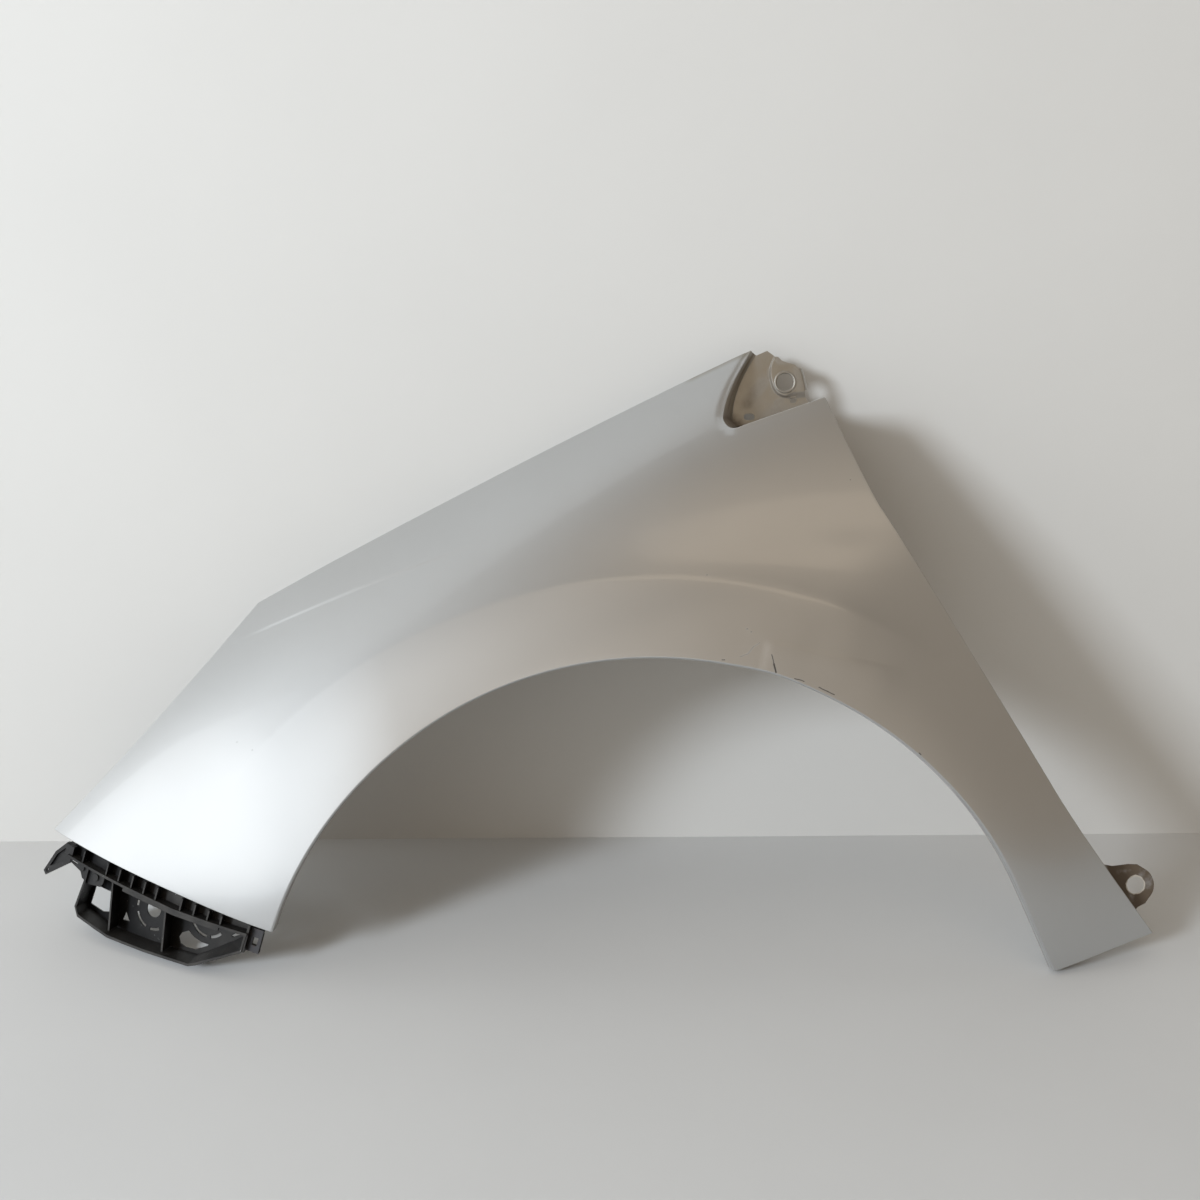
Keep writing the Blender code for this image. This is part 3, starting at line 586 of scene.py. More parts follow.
def addBoss(mesh, foot, side):
    rows = [foot]
    dirtAndShade = mesh.verts.layers.float["dirtAndShade"]
    for step in range(1, pad["bossSteps"] + 1):
        u = step / pad["bossSteps"]
        row = []
        for point in [padPoint(offset) for offset in side]:
            inward = unit(pad["hole"][0] - point[0], pad["hole"][1] - point[1])
            low = smooth((point[0] - pad["hole"][0] + 6.0) / 12.0)
            run = (pad["bossFoot"] + pad["bossFade"] * low) * u
            x = point[0] + run * (inward[0] * (1.0 - low) + 0.09 * low)
            z = point[1] + run * (inward[1] * (1.0 - low) + low)
            vertex = mesh.verts.new(place(x, pad["inset"] - pad["bossRise"] * filleted(u), z))
            # the boss's sloping side is darkened: dirt plus painted shade
            vertex[dirtAndShade] = pad["bossDirtAndShade"] * math.sin(math.pi * u)
            row.append(vertex)
        rows.append(row)
    joinRows(mesh, rows)
    y = pad["inset"] - pad["bossRise"]
    rim = flatRow(mesh, [padPoint(offset) for offset in pad["bossRim"]], y)
    collar = []
    for step in range(pad["collarSteps"] + 1):
        u = step / pad["collarSteps"]
        radius = pad["collarRadius"] + (pad["holeRadius"] - pad["collarRadius"]) * u
        collar.append(flatRow(mesh, ring(pad["hole"], radius), y - pad["collarRise"] * math.sin(math.pi * u)))
    fillFlat(mesh, [rows[-1] + rim, collar[0]])
    joinRows(mesh, [row + row[:1] for row in collar])
    outer = [rows[-1][-1]] + rim[:3]
    places, turned = [drawn(vertex) for vertex in outer], [outer]
    for run, drop in pad["turnedEdge"]:   # the right side is turned in
        turned.append([mesh.verts.new(place(p.x + run, p.y + drop, p.z)) for p in places])
    joinRows(mesh, turned)


# columns of the skin's net, those in front of the recess and those behind
def netColumns():
    head, hood = panel["headColumns"], panel["hoodColumns"]
    fine = [1.0 - 0.0025 * step for step in range(8, -1, -1)]   # closer together beside the recess
    hoodShares = [index / hood for index in range(1, hood - 1)] + fine
    paths = [headSection(index / head) for index in range(head + 1)] + [hoodSection(s) for s in hoodShares]
    front = [sectionPoints(path, kneePart, panel["topRows"]) for path in paths]
    paths = [recessSection((i + 1) / panel["recessColumns"]) for i in range(panel["recessColumns"])]
    paths += [doorSection((i + 1) / panel["doorColumns"]) for i in range(panel["doorColumns"])]
    return front, [sectionPoints(path, 1.0, 0) for path in paths]


# the skin with its flanges, pad and lug, as one open surface
def pressedSheet():
    mesh = bmesh.new()
    dirtAndShade = mesh.verts.layers.float.new("dirtAndShade")
    frontPoints, rearPoints = netColumns()
    front = [[mesh.verts.new(place(x, skinDepth(x, z), z)) for x, z in column] for column in frontPoints]
    kneeRow = panel["lipRows"] + panel["sideRows"]
    rear = [front[-1][:kneeRow + 1]]
    rear += [[mesh.verts.new(place(x, skinDepth(x, z), z)) for x, z in column] for column in rearPoints]
    joinRows(mesh, front)
    joinRows(mesh, rear)

    out = panel["smallBend"][0]
    smallBend = quarterBend(*panel["smallBend"])
    archRow = [column[0] for column in front] + [column[0] for column in rear[1:]]
    lipBend = foldEdge(mesh, archRow, quarterBend(*panel["lipBend"]), -1)
    # the turned-in arch lip is darkened, least between about 60 and 84 degrees round the arch: dirt plus
    # painted shade for the lip's shadow
    for vertex in lipBend + foldEdge(mesh, lipBend, [(0.0, step) for step in panel["lipSteps"]], -1):
        p = drawn(vertex)
        turn = math.degrees(math.atan2(p.z, p.x))
        vertex[dirtAndShade] = 0.15 + 0.75 * smooth((turn - 84.0) / 20.0) + 0.6 * smooth((60.0 - turn) / 10.0)
    foldEdge(mesh, front[0], smallBend + [(out, panel["jointFlange"])], 1)
    head = panel["headColumns"]
    headlightRow = [column[-1] for column in front[:head + 1]]
    foldEdge(mesh, headlightRow, smallBend + [(out, panel["headlightFlange"])], 1)
    rolled = foldEdge(mesh, [column[-1] for column in front[head:]], quarterBend(*panel["hoodBend"]), 1)
    drop, shelf = panel["shelfDrop"], []
    for turn in (0.0, 0.4, 0.8, 1.2, 1.57):
        shelf.append((-drop - 2.6 * math.sin(turn), 4.0 + 3.2 * (1.0 - math.cos(turn))))
    shelf.append((-drop - 2.6, panel["shelfWidth"]))
    foldEdge(mesh, [v for v in rolled if drawn(v).x < panel["shelfEnd"]], shelf, 1)
    notchRow = front[-1][kneeRow:][::-1] + [column[-1] for column in rear[1:panel["recessColumns"] + 1]]
    addPad(mesh, notchRow)
    doorRow = [column[-1] for column in rear[panel["recessColumns"]:]]
    depths = []
    for vertex in doorRow:
        p = drawn(vertex)
        atLug = lug["root"][0] < p.z - lug["hole"][1] < lug["root"][1]
        depths.append(lug["inset"] if atLug else p.y + panel["doorFlange"])
    doorFold = smallBend + [(out, panel["doorFlange"])]
    addLug(mesh, foldEdge(mesh, doorRow, doorFold, 1, depths, panel["edgeSoil"]))
    foldEdge(mesh, rear[-1], smallBend + [(out, panel["sillFlange"])], -1, None, panel["edgeSoil"])
    bmesh.ops.recalc_face_normals(mesh, faces=mesh.faces[:])
    if sum(face.normal.y * face.calc_area() for face in mesh.faces) > 0.0:
        bmesh.ops.reverse_faces(mesh, faces=mesh.faces[:])
    return mesh


def objectFrom(mesh, name):
    data = bpy.data.meshes.new(name)
    mesh.to_mesh(data)
    mesh.free()
    thing = bpy.data.objects.new(name, data)
    bpy.context.scene.collection.objects.link(thing)
    return thing


def prism(mesh, outline, corner):
    low = [mesh.verts.new(corner(point, 0)) for point in outline]
    high = [mesh.verts.new(corner(point, 1)) for point in outline]
    new = [mesh.faces.new(low[::-1]), mesh.faces.new(high)]
    for index in range(len(outline)):
        after = (index + 1) % len(outline)
        new.append(mesh.faces.new((low[index], low[after], high[after], high[index])))
    bmesh.ops.recalc_face_normals(mesh, faces=new)


jointStart = archPoint(panel["archFrontAngle"])
jointAlong = unit(panel["noseTip"][0] - jointStart[0], panel["noseTip"][1] - jointStart[1])


# point beside the bumper joint: s along it, d square below, e inboard
def jointPoint(s, along, d, e):
    depth = skinDepth(jointStart[0] + jointAlong[0] * s, jointStart[1] + jointAlong[1] * s)
    x = jointStart[0] + jointAlong[0] * (s + along) - jointAlong[1] * d
    z = jointStart[1] + jointAlong[1] * (s + along) + jointAlong[0] * d
    return place(x, depth + e, z)


bolts = {
    "hood": (-190.0, -20.0, 160.0),
    "hoodRadius": 4.2,
    "hoodInboard": 25.7,
    "joint": (57.0, 176.0),
    "jointRadius": 3.0,
    "jointInboard": 24.0,
}


def boltHoles():
    holes = bmesh.new()
    for x in bolts["hood"]:
        line = hoodEdge((x - panel["hoodFront"][0]) / hoodLength)
        y = skinDepth(*line) + bolts["hoodInboard"]
        prism(holes, ring((line[0], y), bolts["hoodRadius"], 32),
              lambda p, end: place(p[0], p[1], line[1] - (41.0, 13.0)[end]))
    for s in bolts["joint"]:
        prism(holes, ring((0.0, bolts["jointInboard"]), bolts["jointRadius"], 32),
              lambda p, end: jointPoint(s, p[0], (-4.0, 5.0)[end], p[1]))
    return objectFrom(holes, "boltHoles")


# turns the object's modifiers into plain mesh
def applied(thing):
    bpy.context.view_layer.update()
    data = bpy.data.meshes.new_from_object(thing.evaluated_get(bpy.context.evaluated_depsgraph_get()))
    thing.modifiers.clear()
    thing.data = data


def buildPanel():
    thing = objectFrom(pressedSheet(), "panelSheet")
    thick = thing.modifiers.new("sheet", 'SOLIDIFY')
    thick.thickness = panel["sheet"] / 1000.0
    thick.offset = -1.0
    thick.use_even_offset = True
    cutter = boltHoles()
    cut = thing.modifiers.new("holes", 'BOOLEAN')
    cut.operation, cut.solver, cut.object = 'DIFFERENCE', 'EXACT', cutter
    applied(thing)
    bpy.data.objects.remove(cutter, do_unlink=True)
    for face in thing.data.polygons:
        face.use_smooth = True
    thing.data.set_sharp_from_angle(angle=math.radians(38.0))
    even = thing.modifiers.new("flat faces", 'WEIGHTED_NORMAL')
    even.keep_sharp = True
    even.weight = 80
    return thing


# from here to the paint: functions that make material nodes
def newMaterial(name):
    material = bpy.data.materials.new(name)
    material.use_nodes = True
    tree = material.node_tree
    where = tree.nodes.new('ShaderNodeTexCoord').outputs['Object']
    return material, tree, tree.nodes["Principled BSDF"], where


# new node with its sockets set, either to a value or to another socket
def node(tree, kind, settings=(), **values):
    new = tree.nodes.new(kind)
    for key, value in dict(settings).items():
        setattr(new, key, value)
    for key, value in values.items():
        setSocket(tree, new.inputs[key.replace("_", " ")], value)
    return new


def setSocket(tree, socket, value):
    if isinstance(value, bpy.types.NodeSocket):
        tree.links.new(value, socket)
    elif socket.type == 'RGBA':
        socket.default_value = (*value, 1.0)
    else:
        socket.default_value = value


def feed(shader, name, value):
    setSocket(shader.id_data, shader.inputs[name], value)


def maths(tree, operation, a, b=None, c=None, clamp=False):
    new = tree.nodes.new('ShaderNodeMath')
    new.operation, new.use_clamp = operation, clamp
    for socket, value in zip(new.inputs, (a, b, c)):
        if value is not None:
            setSocket(tree, socket, value)
    return new.outputs[0]


def vectors(tree, operation, a, b=None):
    new = tree.nodes.new('ShaderNodeVectorMath')
    new.operation = operation
    setSocket(tree, new.inputs[0], a)
    if b is not None:
        setSocket(tree, new.inputs[3 if operation == 'SCALE' else 1], b)
    return new.outputs['Value' if operation in ('LENGTH', 'DOT_PRODUCT') else 'Vector']


# smooth change from start to stop as the value goes from low to high
def between(tree, value, low, high, start=0.0, stop=1.0):
    new = tree.nodes.new('ShaderNodeMapRange')
    new.interpolation_type = 'SMOOTHSTEP'
    for socket, number in zip(new.inputs, (value, low, high, start, stop)):
        setSocket(tree, socket, number)
    return new.outputs[0]


def mixColour(tree, share, a, b):
    new = tree.nodes.new('ShaderNodeMix')
    new.data_type = 'RGBA'
    setSocket(tree, new.inputs[0], share)
    setSocket(tree, new.inputs[6], a)
    setSocket(tree, new.inputs[7], b)
    return new.outputs[2]


def mixValue(tree, share, a, b):
    new = tree.nodes.new('ShaderNodeMix')
    for socket, value in zip(new.inputs[:1] + new.inputs[2:4], (share, a, b)):
        setSocket(tree, socket, value)
    return new.outputs[0]


def grain(tree, where, scale, detail=2.0, rough=0.5, kind='ShaderNodeTexNoise'):
    new = node(tree, kind, Vector=where, Scale=scale)
    if kind == 'ShaderNodeTexNoise':
        new.inputs['Detail'].default_value = detail
        new.inputs['Roughness'].default_value = rough
    return new.outputs[0]


def strongest(tree, masks):
    total = masks[0]
    for mask in masks[1:]:
        total = maths(tree, 'MAXIMUM', total, mask)
    return total


def times(tree, *factors):
    total = factors[0]
    for factor in factors[1:]:
        total = maths(tree, 'MULTIPLY', total, factor)
    return total


# mask round the line from a to b, both drawing (x, z)
def near(tree, where, a, b, width, edge):
    depth = drawingOrigin[1]
    start, stop = place(a[0], depth, a[1]), place(b[0], depth, b[1])
    start.y = stop.y = 0.0
    run = stop - start
    offset = vectors(tree, 'SUBTRACT', where, start)
    along = vectors(tree, 'DOT_PRODUCT', offset, run)
    share = maths(tree, 'DIVIDE', along, max(run.length_squared, 1e-9), clamp=True)
    whole = node(tree, 'ShaderNodeCombineXYZ', X=run.x, Y=0.0, Z=run.z).outputs[0]
    foot = vectors(tree, 'SCALE', whole, share)
    away = vectors(tree, 'LENGTH', vectors(tree, 'SUBTRACT', offset, foot))
    return between(tree, away, width / 1000.0, (width + edge) / 1000.0, 1.0, 0.0)


# the position moved a little at random, so that lines come out uneven
def shaken(tree, where, size, scale):
    wave = tree.nodes.new('ShaderNodeTexNoise')
    setSocket(tree, wave.inputs['Vector'], where)
    wave.inputs['Scale'].default_value = scale
    wave.inputs['Detail'].default_value = 3.0
    centred = vectors(tree, 'SUBTRACT', wave.outputs['Color'], (0.5, 0.5, 0.5))
    moved = vectors(tree, 'ADD', where, vectors(tree, 'SCALE', centred, size / 1000.0))
    return vectors(tree, 'MULTIPLY', moved, (1.0, 0.0, 1.0))


paint = {
    "colour": (0.53, 0.54, 0.545),
    "deepColour": (0.49, 0.50, 0.505),
    "metallic": 0.92,
    "roughness": 0.278,
    "filmRoughness": 0.03,
    # the dull parts include the darkened lip, recess wall and boss side, where dirt and painted shade are
    # mixed
    "dullRoughness": 0.62,     # soil, bare steel and the inside
    "dullMetallic": 0.05,
    "coat": 1.0,
    "coatRoughness": 0.05,
    "flake": 0.05,
    "stepHeight": 0.38,        # bump in mm that sharpens the shoulder's step and the dent
    "pitDepth": 0.6,
    "coatWave": 0.012,
    "bareMetal": (0.05, 0.042, 0.035),
    "dust": (0.30, 0.26, 0.21),
    "grimeAndShadeColour": (0.15, 0.115, 0.08),
    "lugDirt": (0.085, 0.062, 0.042),
    # brownish tint over the pad: dust plus painted warm shade
    "padDustAndShade": (0.20, 0.15, 0.06),
    "rustRim": (0.5, 0.46, 0.4),
    "insideDustShare": 0.45,
    "filmDustShare": 0.05,
    "padDustAndShadeShare": 0.42,
    "rustRimShare": 0.85,
    "fineMarks": 0.55,         # strength of scratches and specks beside the cracks
    "cracks": [((214.5, 298.2), (215.1, 305.5), 0.6), ((215.1, 305.5), (216.0, 313.6), 0.25),
               ((172.4, 323.6), (174.6, 323.0), 0.2), ((228.5, 287.4), (235.6, 282.2), 0.25),
               ((246.5, 272.8), (257.6, 262.2), 0.3), ((313.2, 188.4), (314.2, 186.2), 0.3),
               ((352.6, 76.0), (353.2, 74.2), 0.2)],
    "scratches": [((188.4, 321.1), (196.0, 321.6), 0.06), ((196.0, 321.6), (203.1, 326.0), 0.1),
                  ((203.1, 326.0), (209.5, 327.5), 0.02)],
    "specks": [((202.5, 342.6), 0.3), ((205.0, 338.9), 0.2), ((185.3, 399.4), 0.15), ((339.5, 440.0), 0.2),
               ((-278.6, 391.2), 0.2), ((-263.8, 379.9), 0.2)],
}


# height of the fine step pressed along the shoulder, fading out towards the recess
def shoulderStep(tree, x, z):
    dx = (drawingOrigin[0] - shoulder["middle"][0]) / 1000.0
    dz = (drawingOrigin[2] - shoulder["middle"][1]) / 1000.0
    along = maths(tree, 'ADD', x, dx)
    line = times(tree, along, maths(tree, 'MULTIPLY_ADD', along, shoulder["bow"], shoulder["slope"]))
    above = maths(tree, 'SUBTRACT', maths(tree, 'ADD', z, dz), line)
    ends = times(tree, between(tree, along, *shoulder["front"]), between(tree, along, *shoulder["rear"]))
    half = shoulder["bumpHalf"]
    return times(tree, ends, between(tree, above, -half, half))


# height of the shallow dent that runs down to the rear from the crack
def dentStep(tree, where):
    (ax, az), (bx, bz) = dent["line"]
    start = place(ax, drawingOrigin[1], az)
    run = place(bx, drawingOrigin[1], bz) - start
    offset = vectors(tree, 'SUBTRACT', where, start)
    along = vectors(tree, 'DOT_PRODUCT', offset, run / run.length)
    above = vectors(tree, 'DOT_PRODUCT', offset, Vector((-run.z, 0.0, run.x)) / run.length)
    ends = times(tree, between(tree, along, -0.004, 0.008), between(tree, along, 0.136, 0.10))
    half = dent["bumpHalf"]
    return times(tree, ends, between(tree, above, half, -half))


# bump over the normal beneath, with its depth in mm
def bump(tree, height, strength, depth, beneath=None):
    new = node(tree, 'ShaderNodeBump', Height=height, Strength=strength)
    new.inputs['Distance'].default_value = depth / 1000.0
    if beneath is not None:
        setSocket(tree, new.inputs['Normal'], beneath)
    return new.outputs[0]


def facing(tree, axis):
    normal = node(tree, 'ShaderNodeNewGeometry').outputs['Normal']
    return node(tree, 'ShaderNodeSeparateXYZ', Vector=normal).outputs[axis]


# silver metallic paint under clear coat, dull and dusty inside, dirty at the pad and lug, with painted shade
# mixed into the darkening of the arch lip, the recess wall, the boss and the pad
def paintMaterial():
    material, tree, shader, where = newMaterial("silverPaint")
    x, y, z = node(tree, 'ShaderNodeSeparateXYZ', Vector=where).outputs

    cloud = grain(tree, where, 9.0, 4.0)
    colour = mixColour(tree, cloud, paint["deepColour"], paint["colour"])
    inside = between(tree, facing(tree, 'Y'), 0.1, 0.5)
    colour = mixColour(tree, times(tree, inside, paint["insideDustShare"]), colour, paint["dust"])

    shaky = shaken(tree, where, 1.6, 160.0)
    broken = strongest(tree, [near(tree, shaky, a, b, w, 0.35) for a, b, w in paint["cracks"]])
    fine = strongest(tree, [near(tree, shaky, a, b, w, 0.4) for a, b, w in paint["scratches"]])
    specks = strongest(tree, [near(tree, shaky, p, (p[0] + 0.3, p[1]), r, 0.5) for p, r in paint["specks"]])
    marks = strongest(tree, [broken, times(tree, strongest(tree, [fine, specks]), paint["fineMarks"])])

    # darkening stored on the sheet: dirt on the flange edges, dirt plus painted shade on the arch lip, the
    # recess wall and the boss side
    dirtAndShade = node(tree, 'ShaderNodeAttribute', {"attribute_name": "dirtAndShade"}).outputs['Fac']
    patches = grain(tree, where, 60.0, 4.0, 0.6)
    darkened = times(tree, dirtAndShade, between(tree, patches, 0.3, 0.6, 0.55, 1.0))
    depths, lengths = pad["soilWithin"]
    atPad = times(tree, between(tree, y, *depths), between(tree, x, *lengths))
    padGrimeAndShade = times(tree, atPad, between(tree, patches, 0.4, 0.7, 0.02, 0.2))
    # stains, plus a painted shade line in the crease at the boss's foot
    stainsAndShade = strongest(tree, [near(tree, shaky, a, b, w, e) for a, b, w, e in pad["stainsAndShade"]])
    stainsAndShade = times(tree, stainsAndShade, between(tree, patches, 0.3, 0.65, 0.25, 0.6))
    padGrimeAndShade = strongest(tree, [padGrimeAndShade, times(tree, stainsAndShade, atPad)])
    lengths, depths, heights = lug["soilWithin"]
    atLug = times(tree, between(tree, x, *lengths), between(tree, y, *depths), between(tree, z, *heights))
    lugSoil = times(tree, atLug, between(tree, patches, 0.3, 0.5, 0.75, 1.0))
    grimeAndShade = strongest(tree, [darkened, padGrimeAndShade, lugSoil])
    rim = near(tree, shaken(tree, where, 2.2, 260.0), lug["hole"], (479.2, -6.4), 8.6, 0.9)
    rim = times(tree, rim, atLug)

    film = between(tree, grain(tree, where, 5.5, 3.0), 0.35, 0.75)
    colour = mixColour(tree, times(tree, film, paint["filmDustShare"]), colour, paint["dust"])
    # brownish tint over the pad: dust plus painted warm shade
    colour = mixColour(tree, times(tree, atPad, paint["padDustAndShadeShare"]), colour, paint["padDustAndShade"])
    # dark brown over the darkened places: dirt, and painted shade on the arch lip, recess wall, boss side and
    # the boss's crease
    colour = mixColour(tree, grimeAndShade, colour, mixColour(tree, atLug, paint["grimeAndShadeColour"], paint["lugDirt"]))
    colour = mixColour(tree, times(tree, rim, paint["rustRimShare"]), colour, paint["rustRim"])
    colour = mixColour(tree, marks, colour, paint["bareMetal"])
    feed(shader, 'Base Color', colour)

    bare = strongest(tree, [grimeAndShade, marks])
    plain = strongest(tree, [bare, times(tree, inside, 0.5)])
    metallic = mixValue(tree, plain, paint["metallic"], paint["dullMetallic"])
    feed(shader, 'Metallic', metallic)
    rough = mixValue(tree, film, paint["roughness"], paint["roughness"] + paint["filmRoughness"])
    rough = mixValue(tree, strongest(tree, [bare, inside]), rough, paint["dullRoughness"])
    feed(shader, 'Roughness', rough)
    uncoated = strongest(tree, [bare, times(tree, inside, 0.8)])
    feed(shader, 'Coat Weight', mixValue(tree, uncoated, paint["coat"], 0.0))
    feed(shader, 'Coat Roughness', paint["coatRoughness"])

    steps = maths(tree, 'ADD', shoulderStep(tree, x, z), dentStep(tree, where))
    shaped = bump(tree, steps, 1.0, paint["stepHeight"])
    flakes = bump(tree, grain(tree, where, 2600.0, 1.0), paint["flake"], 0.1, shaped)
    pits = bump(tree, patches, times(tree, bare, 0.6), paint["pitDepth"], flakes)
    feed(shader, 'Normal', pits)
    wave = bump(tree, grain(tree, where, 420.0, 1.0), paint["coatWave"], 0.2, shaped)
    feed(shader, 'Coat Normal', wave)
    return material


plastic = {
    "colour": (0.008, 0.008, 0.0085),
    "dust": (0.075, 0.070, 0.063),
    "roughness": 0.5,
    "shine": 0.3,
    "grain": 0.25,
    "edgeRadius": 0.0005,
    "flecks": (0.5, 0.5, 0.49),
}


# moulded black plastic: fine texture, dust on what faces up, overspray flecks
def plasticMaterial():
    material, tree, shader, where = newMaterial("blackPlastic")
    patches = grain(tree, where, 60.0, 5.0, 0.6)
    x, y = node(tree, 'ShaderNodeSeparateXYZ', Vector=where).outputs[:2]
    up = between(tree, facing(tree, 'Z'), 0.1, 0.9)
    slanted = maths(tree, 'MULTIPLY_ADD', x, 0.355, y)
    outer = times(tree, between(tree, facing(tree, 'Y'), -0.3, -0.8), between(tree, slanted, -0.302, -0.318))
    dusty = maths(tree, 'MULTIPLY_ADD', strongest(tree, [times(tree, up, 0.7), outer]), 0.42, 0.02)
    dusty = times(tree, dusty, between(tree, patches, 0.3, 0.7, 0.35, 1.0))
    feed(shader, 'Specular IOR Level', plastic["shine"])
    fleck = between(tree, grain(tree, where, 480.0, 0.0, kind='ShaderNodeTexVoronoi'), 0.1, 0.14, 1.0, 0.0)
    sparse = between(tree, grain(tree, where, 75.0, 1.0), 0.63, 0.68)
    colour = mixColour(tree, dusty, plastic["colour"], plastic["dust"])
    colour = mixColour(tree, times(tree, fleck, sparse), colour, plastic["flecks"])
    feed(shader, 'Base Color', colour)
    rough = mixValue(tree, patches, plastic["roughness"] - 0.08, plastic["roughness"] + 0.14)
    feed(shader, 'Roughness', rough)
    soft = node(tree, 'ShaderNodeBevel', {"samples": 4}, Radius=plastic["edgeRadius"])
    texture = bump(tree, grain(tree, where, 1300.0, 2.0), plastic["grain"], 0.2, soft.outputs[0])
    feed(shader, 'Normal', texture)
    return material


steel = {
    "clipSteel": {"colour": (0.07, 0.07, 0.075), "roughness": 0.42, "rust": 0.5},
    "screwZinc": {"colour": (0.42, 0.41, 0.38), "roughness": 0.4, "rust": 0.35},
    "screwZincRear": {"colour": (0.40, 0.39, 0.37), "roughness": 0.42, "rust": 0.4},
    "rust": (0.13, 0.055, 0.025),
}


# small steel parts with a dull plating and a little rust
def steelMaterial(name):
    look = steel[name]
    material, tree, shader, where = newMaterial(name)
    spots = between(tree, grain(tree, where, 210.0, 5.0, 0.6), 0.55, 0.7, 0.0, look["rust"])
    feed(shader, 'Base Color', mixColour(tree, spots, look["colour"], steel["rust"]))
    feed(shader, 'Metallic', mixValue(tree, spots, 0.9, 0.1))
    feed(shader, 'Roughness', mixValue(tree, spots, look["roughness"], 0.8))
    feed(shader, 'Normal', bump(tree, grain(tree, where, 900.0, 3.0), 0.2, 0.2))
    return material


def wearMaterial(thing, material, slotName):
    thing.data.materials.clear()
    thing.data.materials.append(material)


sheetPanel = buildPanel()
wearMaterial(sheetPanel, paintMaterial(), "silver_paint")
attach(sheetPanel, "root")
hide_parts("fender_panel")
print("panel built,", len(sheetPanel.data.polygons), "faces")

cadLooks = {
    "bumper_bracket": (plasticMaterial(), "black_plastic"),
    "spring_clip": (steelMaterial("clipSteel"), "black_steel"),
    "front_screw": (steelMaterial("screwZinc"), "screw_steel"),
    "rear_screw": (steelMaterial("screwZincRear"), "screw_steel"),
}
for nodeName, (material, slotName) in cadLooks.items():
    wearMaterial(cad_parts[nodeName], material, slotName)
print("bracket, clip and screws finished")

# the picture: the panel stands on its foot and its bracket and leans back on a wall
shot = {
    "roll": 18.6,
    "position": (-0.2158, -1.2468, -0.1401),
    "lens": 37.2,
    "leanBack": 15.0,
    "bracketFoot": (-382.6, 61.4, 209.9),   # where the part stands on the floor
    "sillFoot": (373.2, 34.3, -45.4),
    "toPanel": 1.116,          # from the camera to the panel's plane
    "wallBehind": 0.3005,      # behind that plane, where it meets the floor
    "floorGap": 0.0005,
    "reach": (-3.4, 2.6),      # of floor and wall, to the left and right
    "floorDepth": 3.2,
    "wallHeight": 2.4,
    "floorColour": (0.572, 0.568, 0.555),
    "wallColour": (0.546, 0.532, 0.504),
    "paleBackground": (0.76, 0.76, 0.75),
}
rollTurn = math.radians(shot["roll"])
imageRight = Vector((math.cos(rollTurn), 0.0, -math.sin(rollTurn)))
imageUp = Vector((math.sin(rollTurn), 0.0, math.cos(rollTurn)))
lookAlong = Vector((0.0, 1.0, 0.0))
leanTurn = math.radians(shot["leanBack"])
floorAway = lookAlong * math.cos(leanTurn) + imageUp * math.sin(leanTurn)
standing = place(*shot["sillFoot"]) - place(*shot["bracketFoot"])
floorUp = standing.cross(floorAway).normalized()


def plainCamera():
    data = bpy.data.cameras.new("photoCamera")
    data.lens, data.sensor_width = shot["lens"], 36.0
    data.clip_start = 0.01
    camera = bpy.data.objects.new("photoCamera", data)
    turn = Matrix((imageRight, imageUp, -lookAlong)).transposed().to_4x4()
    camera.matrix_world = Matrix.Translation(shot["position"]) @ turn
    bpy.context.scene.collection.objects.link(camera)
    bpy.context.scene.camera = camera


# floor or wall, pale, with a soft mottle, and open to a camera behind it
def stagePlane(name, corners, colour, scale):
    mesh = bmesh.new()
    mesh.faces.new([mesh.verts.new(corner) for corner in corners])
    thing = objectFrom(mesh, name)
    material, tree, shader, where = newMaterial(name + "Finish")
    mottle = grain(tree, where, scale, 2.0)
    darker = tuple(part * 0.95 for part in colour)
    feed(shader, 'Base Color', mixColour(tree, mottle, darker, colour))
    feed(shader, 'Roughness', 0.75)
    path = node(tree, 'ShaderNodeLightPath').outputs['Is Camera Ray']
    back = node(tree, 'ShaderNodeNewGeometry').outputs['Backfacing']
    clear = node(tree, 'ShaderNodeBsdfTransparent').outputs[0]
    mixed = tree.nodes.new('ShaderNodeMixShader')
    setSocket(tree, mixed.inputs[0], times(tree, path, back))
    material.use_transparent_shadow = False
    tree.links.new(shader.outputs[0], mixed.inputs[1])
    tree.links.new(clear, mixed.inputs[2])
    tree.links.new(mixed.outputs[0], tree.nodes['Material Output'].inputs['Surface'])
    thing.data.materials.append(material)


def buildStage():
    foot = place(*shot["sillFoot"]) - floorUp * shot["floorGap"]
    centre = Vector(shot["position"]) + lookAlong * (shot["toPanel"] + shot["wallBehind"])
    corner = foot - floorAway * (foot - centre).dot(lookAlong) / floorAway.dot(lookAlong)
    floorRight = floorAway.cross(floorUp).normalized()
    left, right = (floorRight * reach for reach in shot["reach"])
    front, top = floorAway * -shot["floorDepth"], floorUp * shot["wallHeight"]
    stagePlane("paleFloor", [corner + left + front, corner + right + front, corner + right, corner + left],
               shot["floorColour"], 6.0)
    stagePlane("paleWall", [corner + left, corner + right, corner + right + top, corner + left + top],
               shot["wallColour"], 4.0)


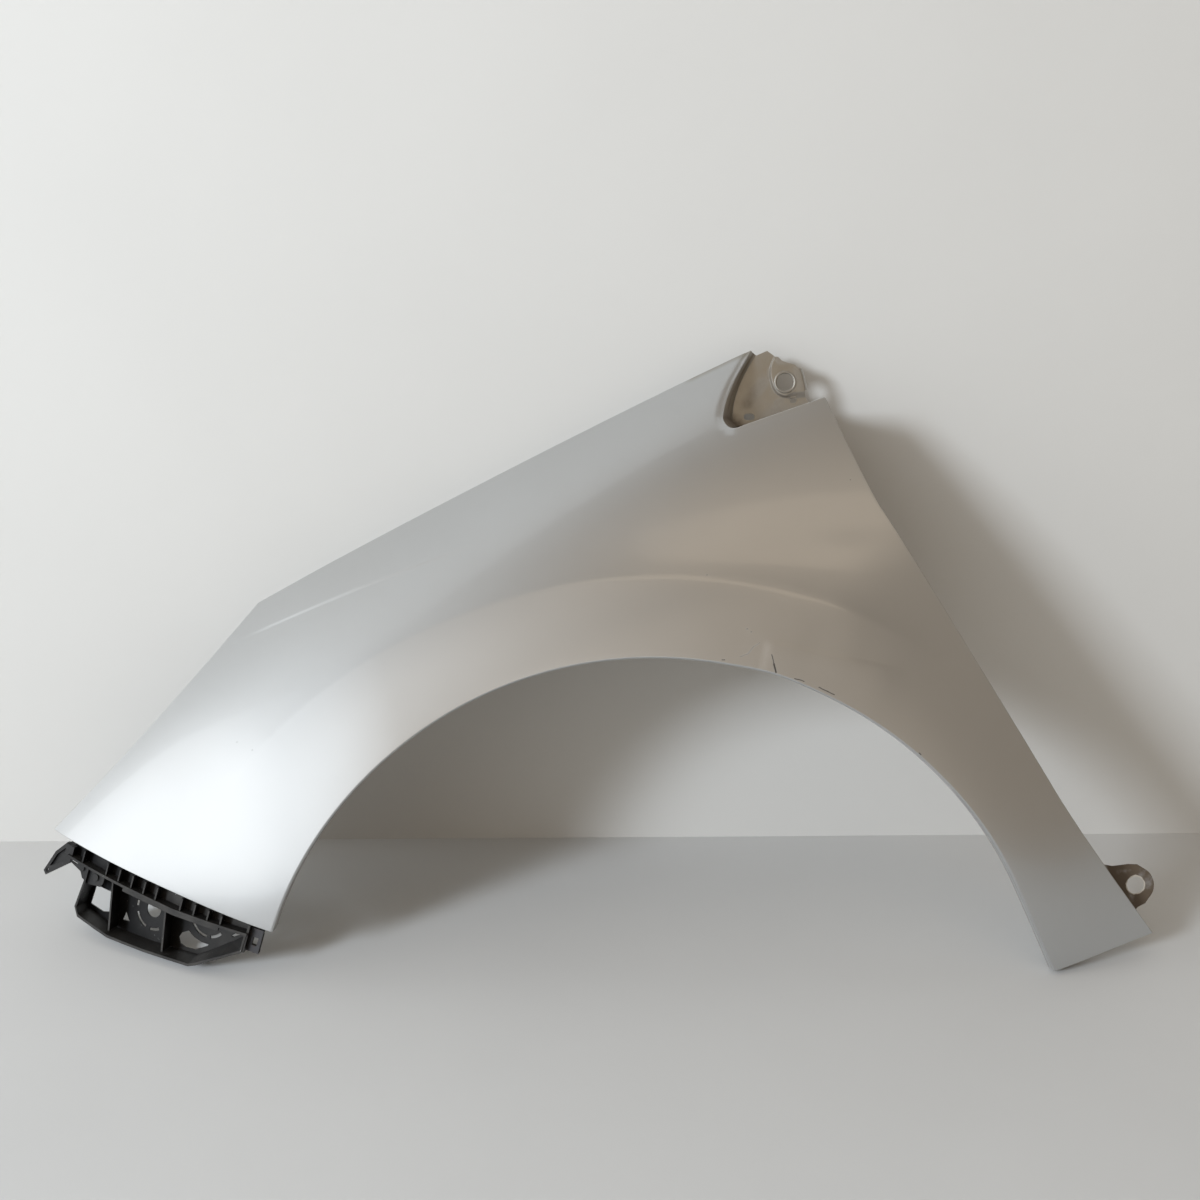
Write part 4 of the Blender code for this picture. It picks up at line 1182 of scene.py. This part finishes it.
lights = {
    "keyPlace": (-2.64, -3.0, 1.15),
    "keyAim": (-0.25, -0.05, -0.15),
    "keySize": 0.8,
    "keyPower": 155.0,
    "keyColour": (0.835, 0.925, 1.03),
    # brightness of the surroundings from the left (-1) over the top (0) to the right (1)
    "sides": [(-1.0, 2.0), (-0.8, 2.0), (-0.62, 1.58), (-0.5, 1.29), (-0.38, 0.88), (-0.28, 0.63),
              (-0.15, 0.39), (0.0, 0.28), (0.2, 0.268), (0.45, 0.32), (1.0, 0.30)],
    # from left to right again: share of the front lift, of the warm tint and of the bright band
    "shares": [(-1.0, (0.0, 0.0, 1.0)), (-0.66, (0.0, 0.0, 1.0)), (-0.5, (0.54, 0.0, 1.0)),
               (-0.35, (1.0, 0.18, 1.0)), (-0.1, (0.88, 0.82, 1.0)), (0.05, (0.66, 1.0, 1.0)),
               (0.4, (0.13, 1.0, 1.0)), (0.5, (0.04, 1.0, 0.0)), (1.0, (0.0, 1.0, 0.0))],
    "front": (-0.15, -0.7),    # over which y each of these comes in
    "behind": (0.3, -0.5),
    "low": (-0.84, -0.93),
    "frontLift": 0.65,
    "lowLift": 0.12,
    "coolFront": (0.96, 0.985, 1.0),
    "warmBehind": (1.0, 0.82, 0.62),
    "band": 0.8,
    "bandAcross": (0.811, 0.50, 0.305),
    "bandEdges": [(-0.055, -0.04), (0.035, 0.02)],
}


def keyLamp():
    data = bpy.data.lights.new("softKey", 'AREA')
    data.shape, data.size, data.energy = 'SQUARE', lights["keySize"], lights["keyPower"]
    data.color = lights["keyColour"]
    lamp = bpy.data.objects.new("softKey", data)
    aim = Vector(lights["keyAim"]) - Vector(lights["keyPlace"])
    turn = aim.to_track_quat('-Z', 'Y').to_matrix().to_4x4()
    lamp.matrix_world = Matrix.Translation(lights["keyPlace"]) @ turn
    lamp.visible_glossy = False   # the paint mirrors the even surroundings instead
    bpy.context.scene.collection.objects.link(lamp)


# colour that changes with x from the left (-1) to the right (1)
def sideRamp(tree, x, stops):
    new = node(tree, 'ShaderNodeValToRGB', Fac=maths(tree, 'MULTIPLY_ADD', x, 0.5, 0.5))
    while len(new.color_ramp.elements) < len(stops):
        new.color_ramp.elements.new(0.5)
    for element, (side, colour) in zip(new.color_ramp.elements, stops):
        element.position = side / 2.0 + 0.5
        element.color = (*colour, 1.0)
    return new.outputs[0]


# plain surroundings: bright on the left, grey overhead, darker and warmer behind the camera
def surroundings():
    world = bpy.data.worlds.new("openYard")
    bpy.context.scene.world = world
    world.use_nodes = True
    tree = world.node_tree
    where = node(tree, 'ShaderNodeTexCoord').outputs['Generated']
    x, y = node(tree, 'ShaderNodeSeparateXYZ', Vector=where).outputs[:2]
    brightest = lights["sides"][0][1]
    grey = sideRamp(tree, x, [(side, [value / brightest] * 3) for side, value in lights["sides"]])
    shares = node(tree, 'ShaderNodeSeparateColor', Color=sideRamp(tree, x, lights["shares"]))
    front = between(tree, y, *lights["front"])
    lift = times(tree, shares.outputs[0], front, lights["frontLift"] * brightest)
    light = times(tree, grey, maths(tree, 'ADD', lift, brightest))
    light = maths(tree, 'MULTIPLY_ADD', between(tree, y, *lights["low"]), lights["lowLift"], light)
    behind = times(tree, between(tree, y, *lights["behind"]), shares.outputs[1])
    tint = mixColour(tree, behind, lights["coolFront"], lights["warmBehind"])
    across = vectors(tree, 'DOT_PRODUCT', where, lights["bandAcross"])
    below, over = lights["bandEdges"]
    beam = times(tree, between(tree, across, *below), between(tree, across, *over), front, shares.outputs[2])
    light = maths(tree, 'MULTIPLY_ADD', beam, lights["band"], light)
    lit = vectors(tree, 'SCALE', tint, light)
    path = node(tree, 'ShaderNodeLightPath').outputs['Is Camera Ray']
    shown = mixColour(tree, path, lit, shot["paleBackground"])
    feed(tree.nodes['Background'], 'Color', shown)
    feed(tree.nodes['Background'], 'Strength', 1.0)


plainCamera()
buildStage()
keyLamp()
surroundings()
bpy.context.scene.view_settings.view_transform = 'Standard'
bpy.context.scene.cycles.max_bounces = 6
bpy.context.scene.cycles.diffuse_bounces = 3
bpy.context.scene.cycles.glossy_bounces = 3
print("stage, lights and camera set")
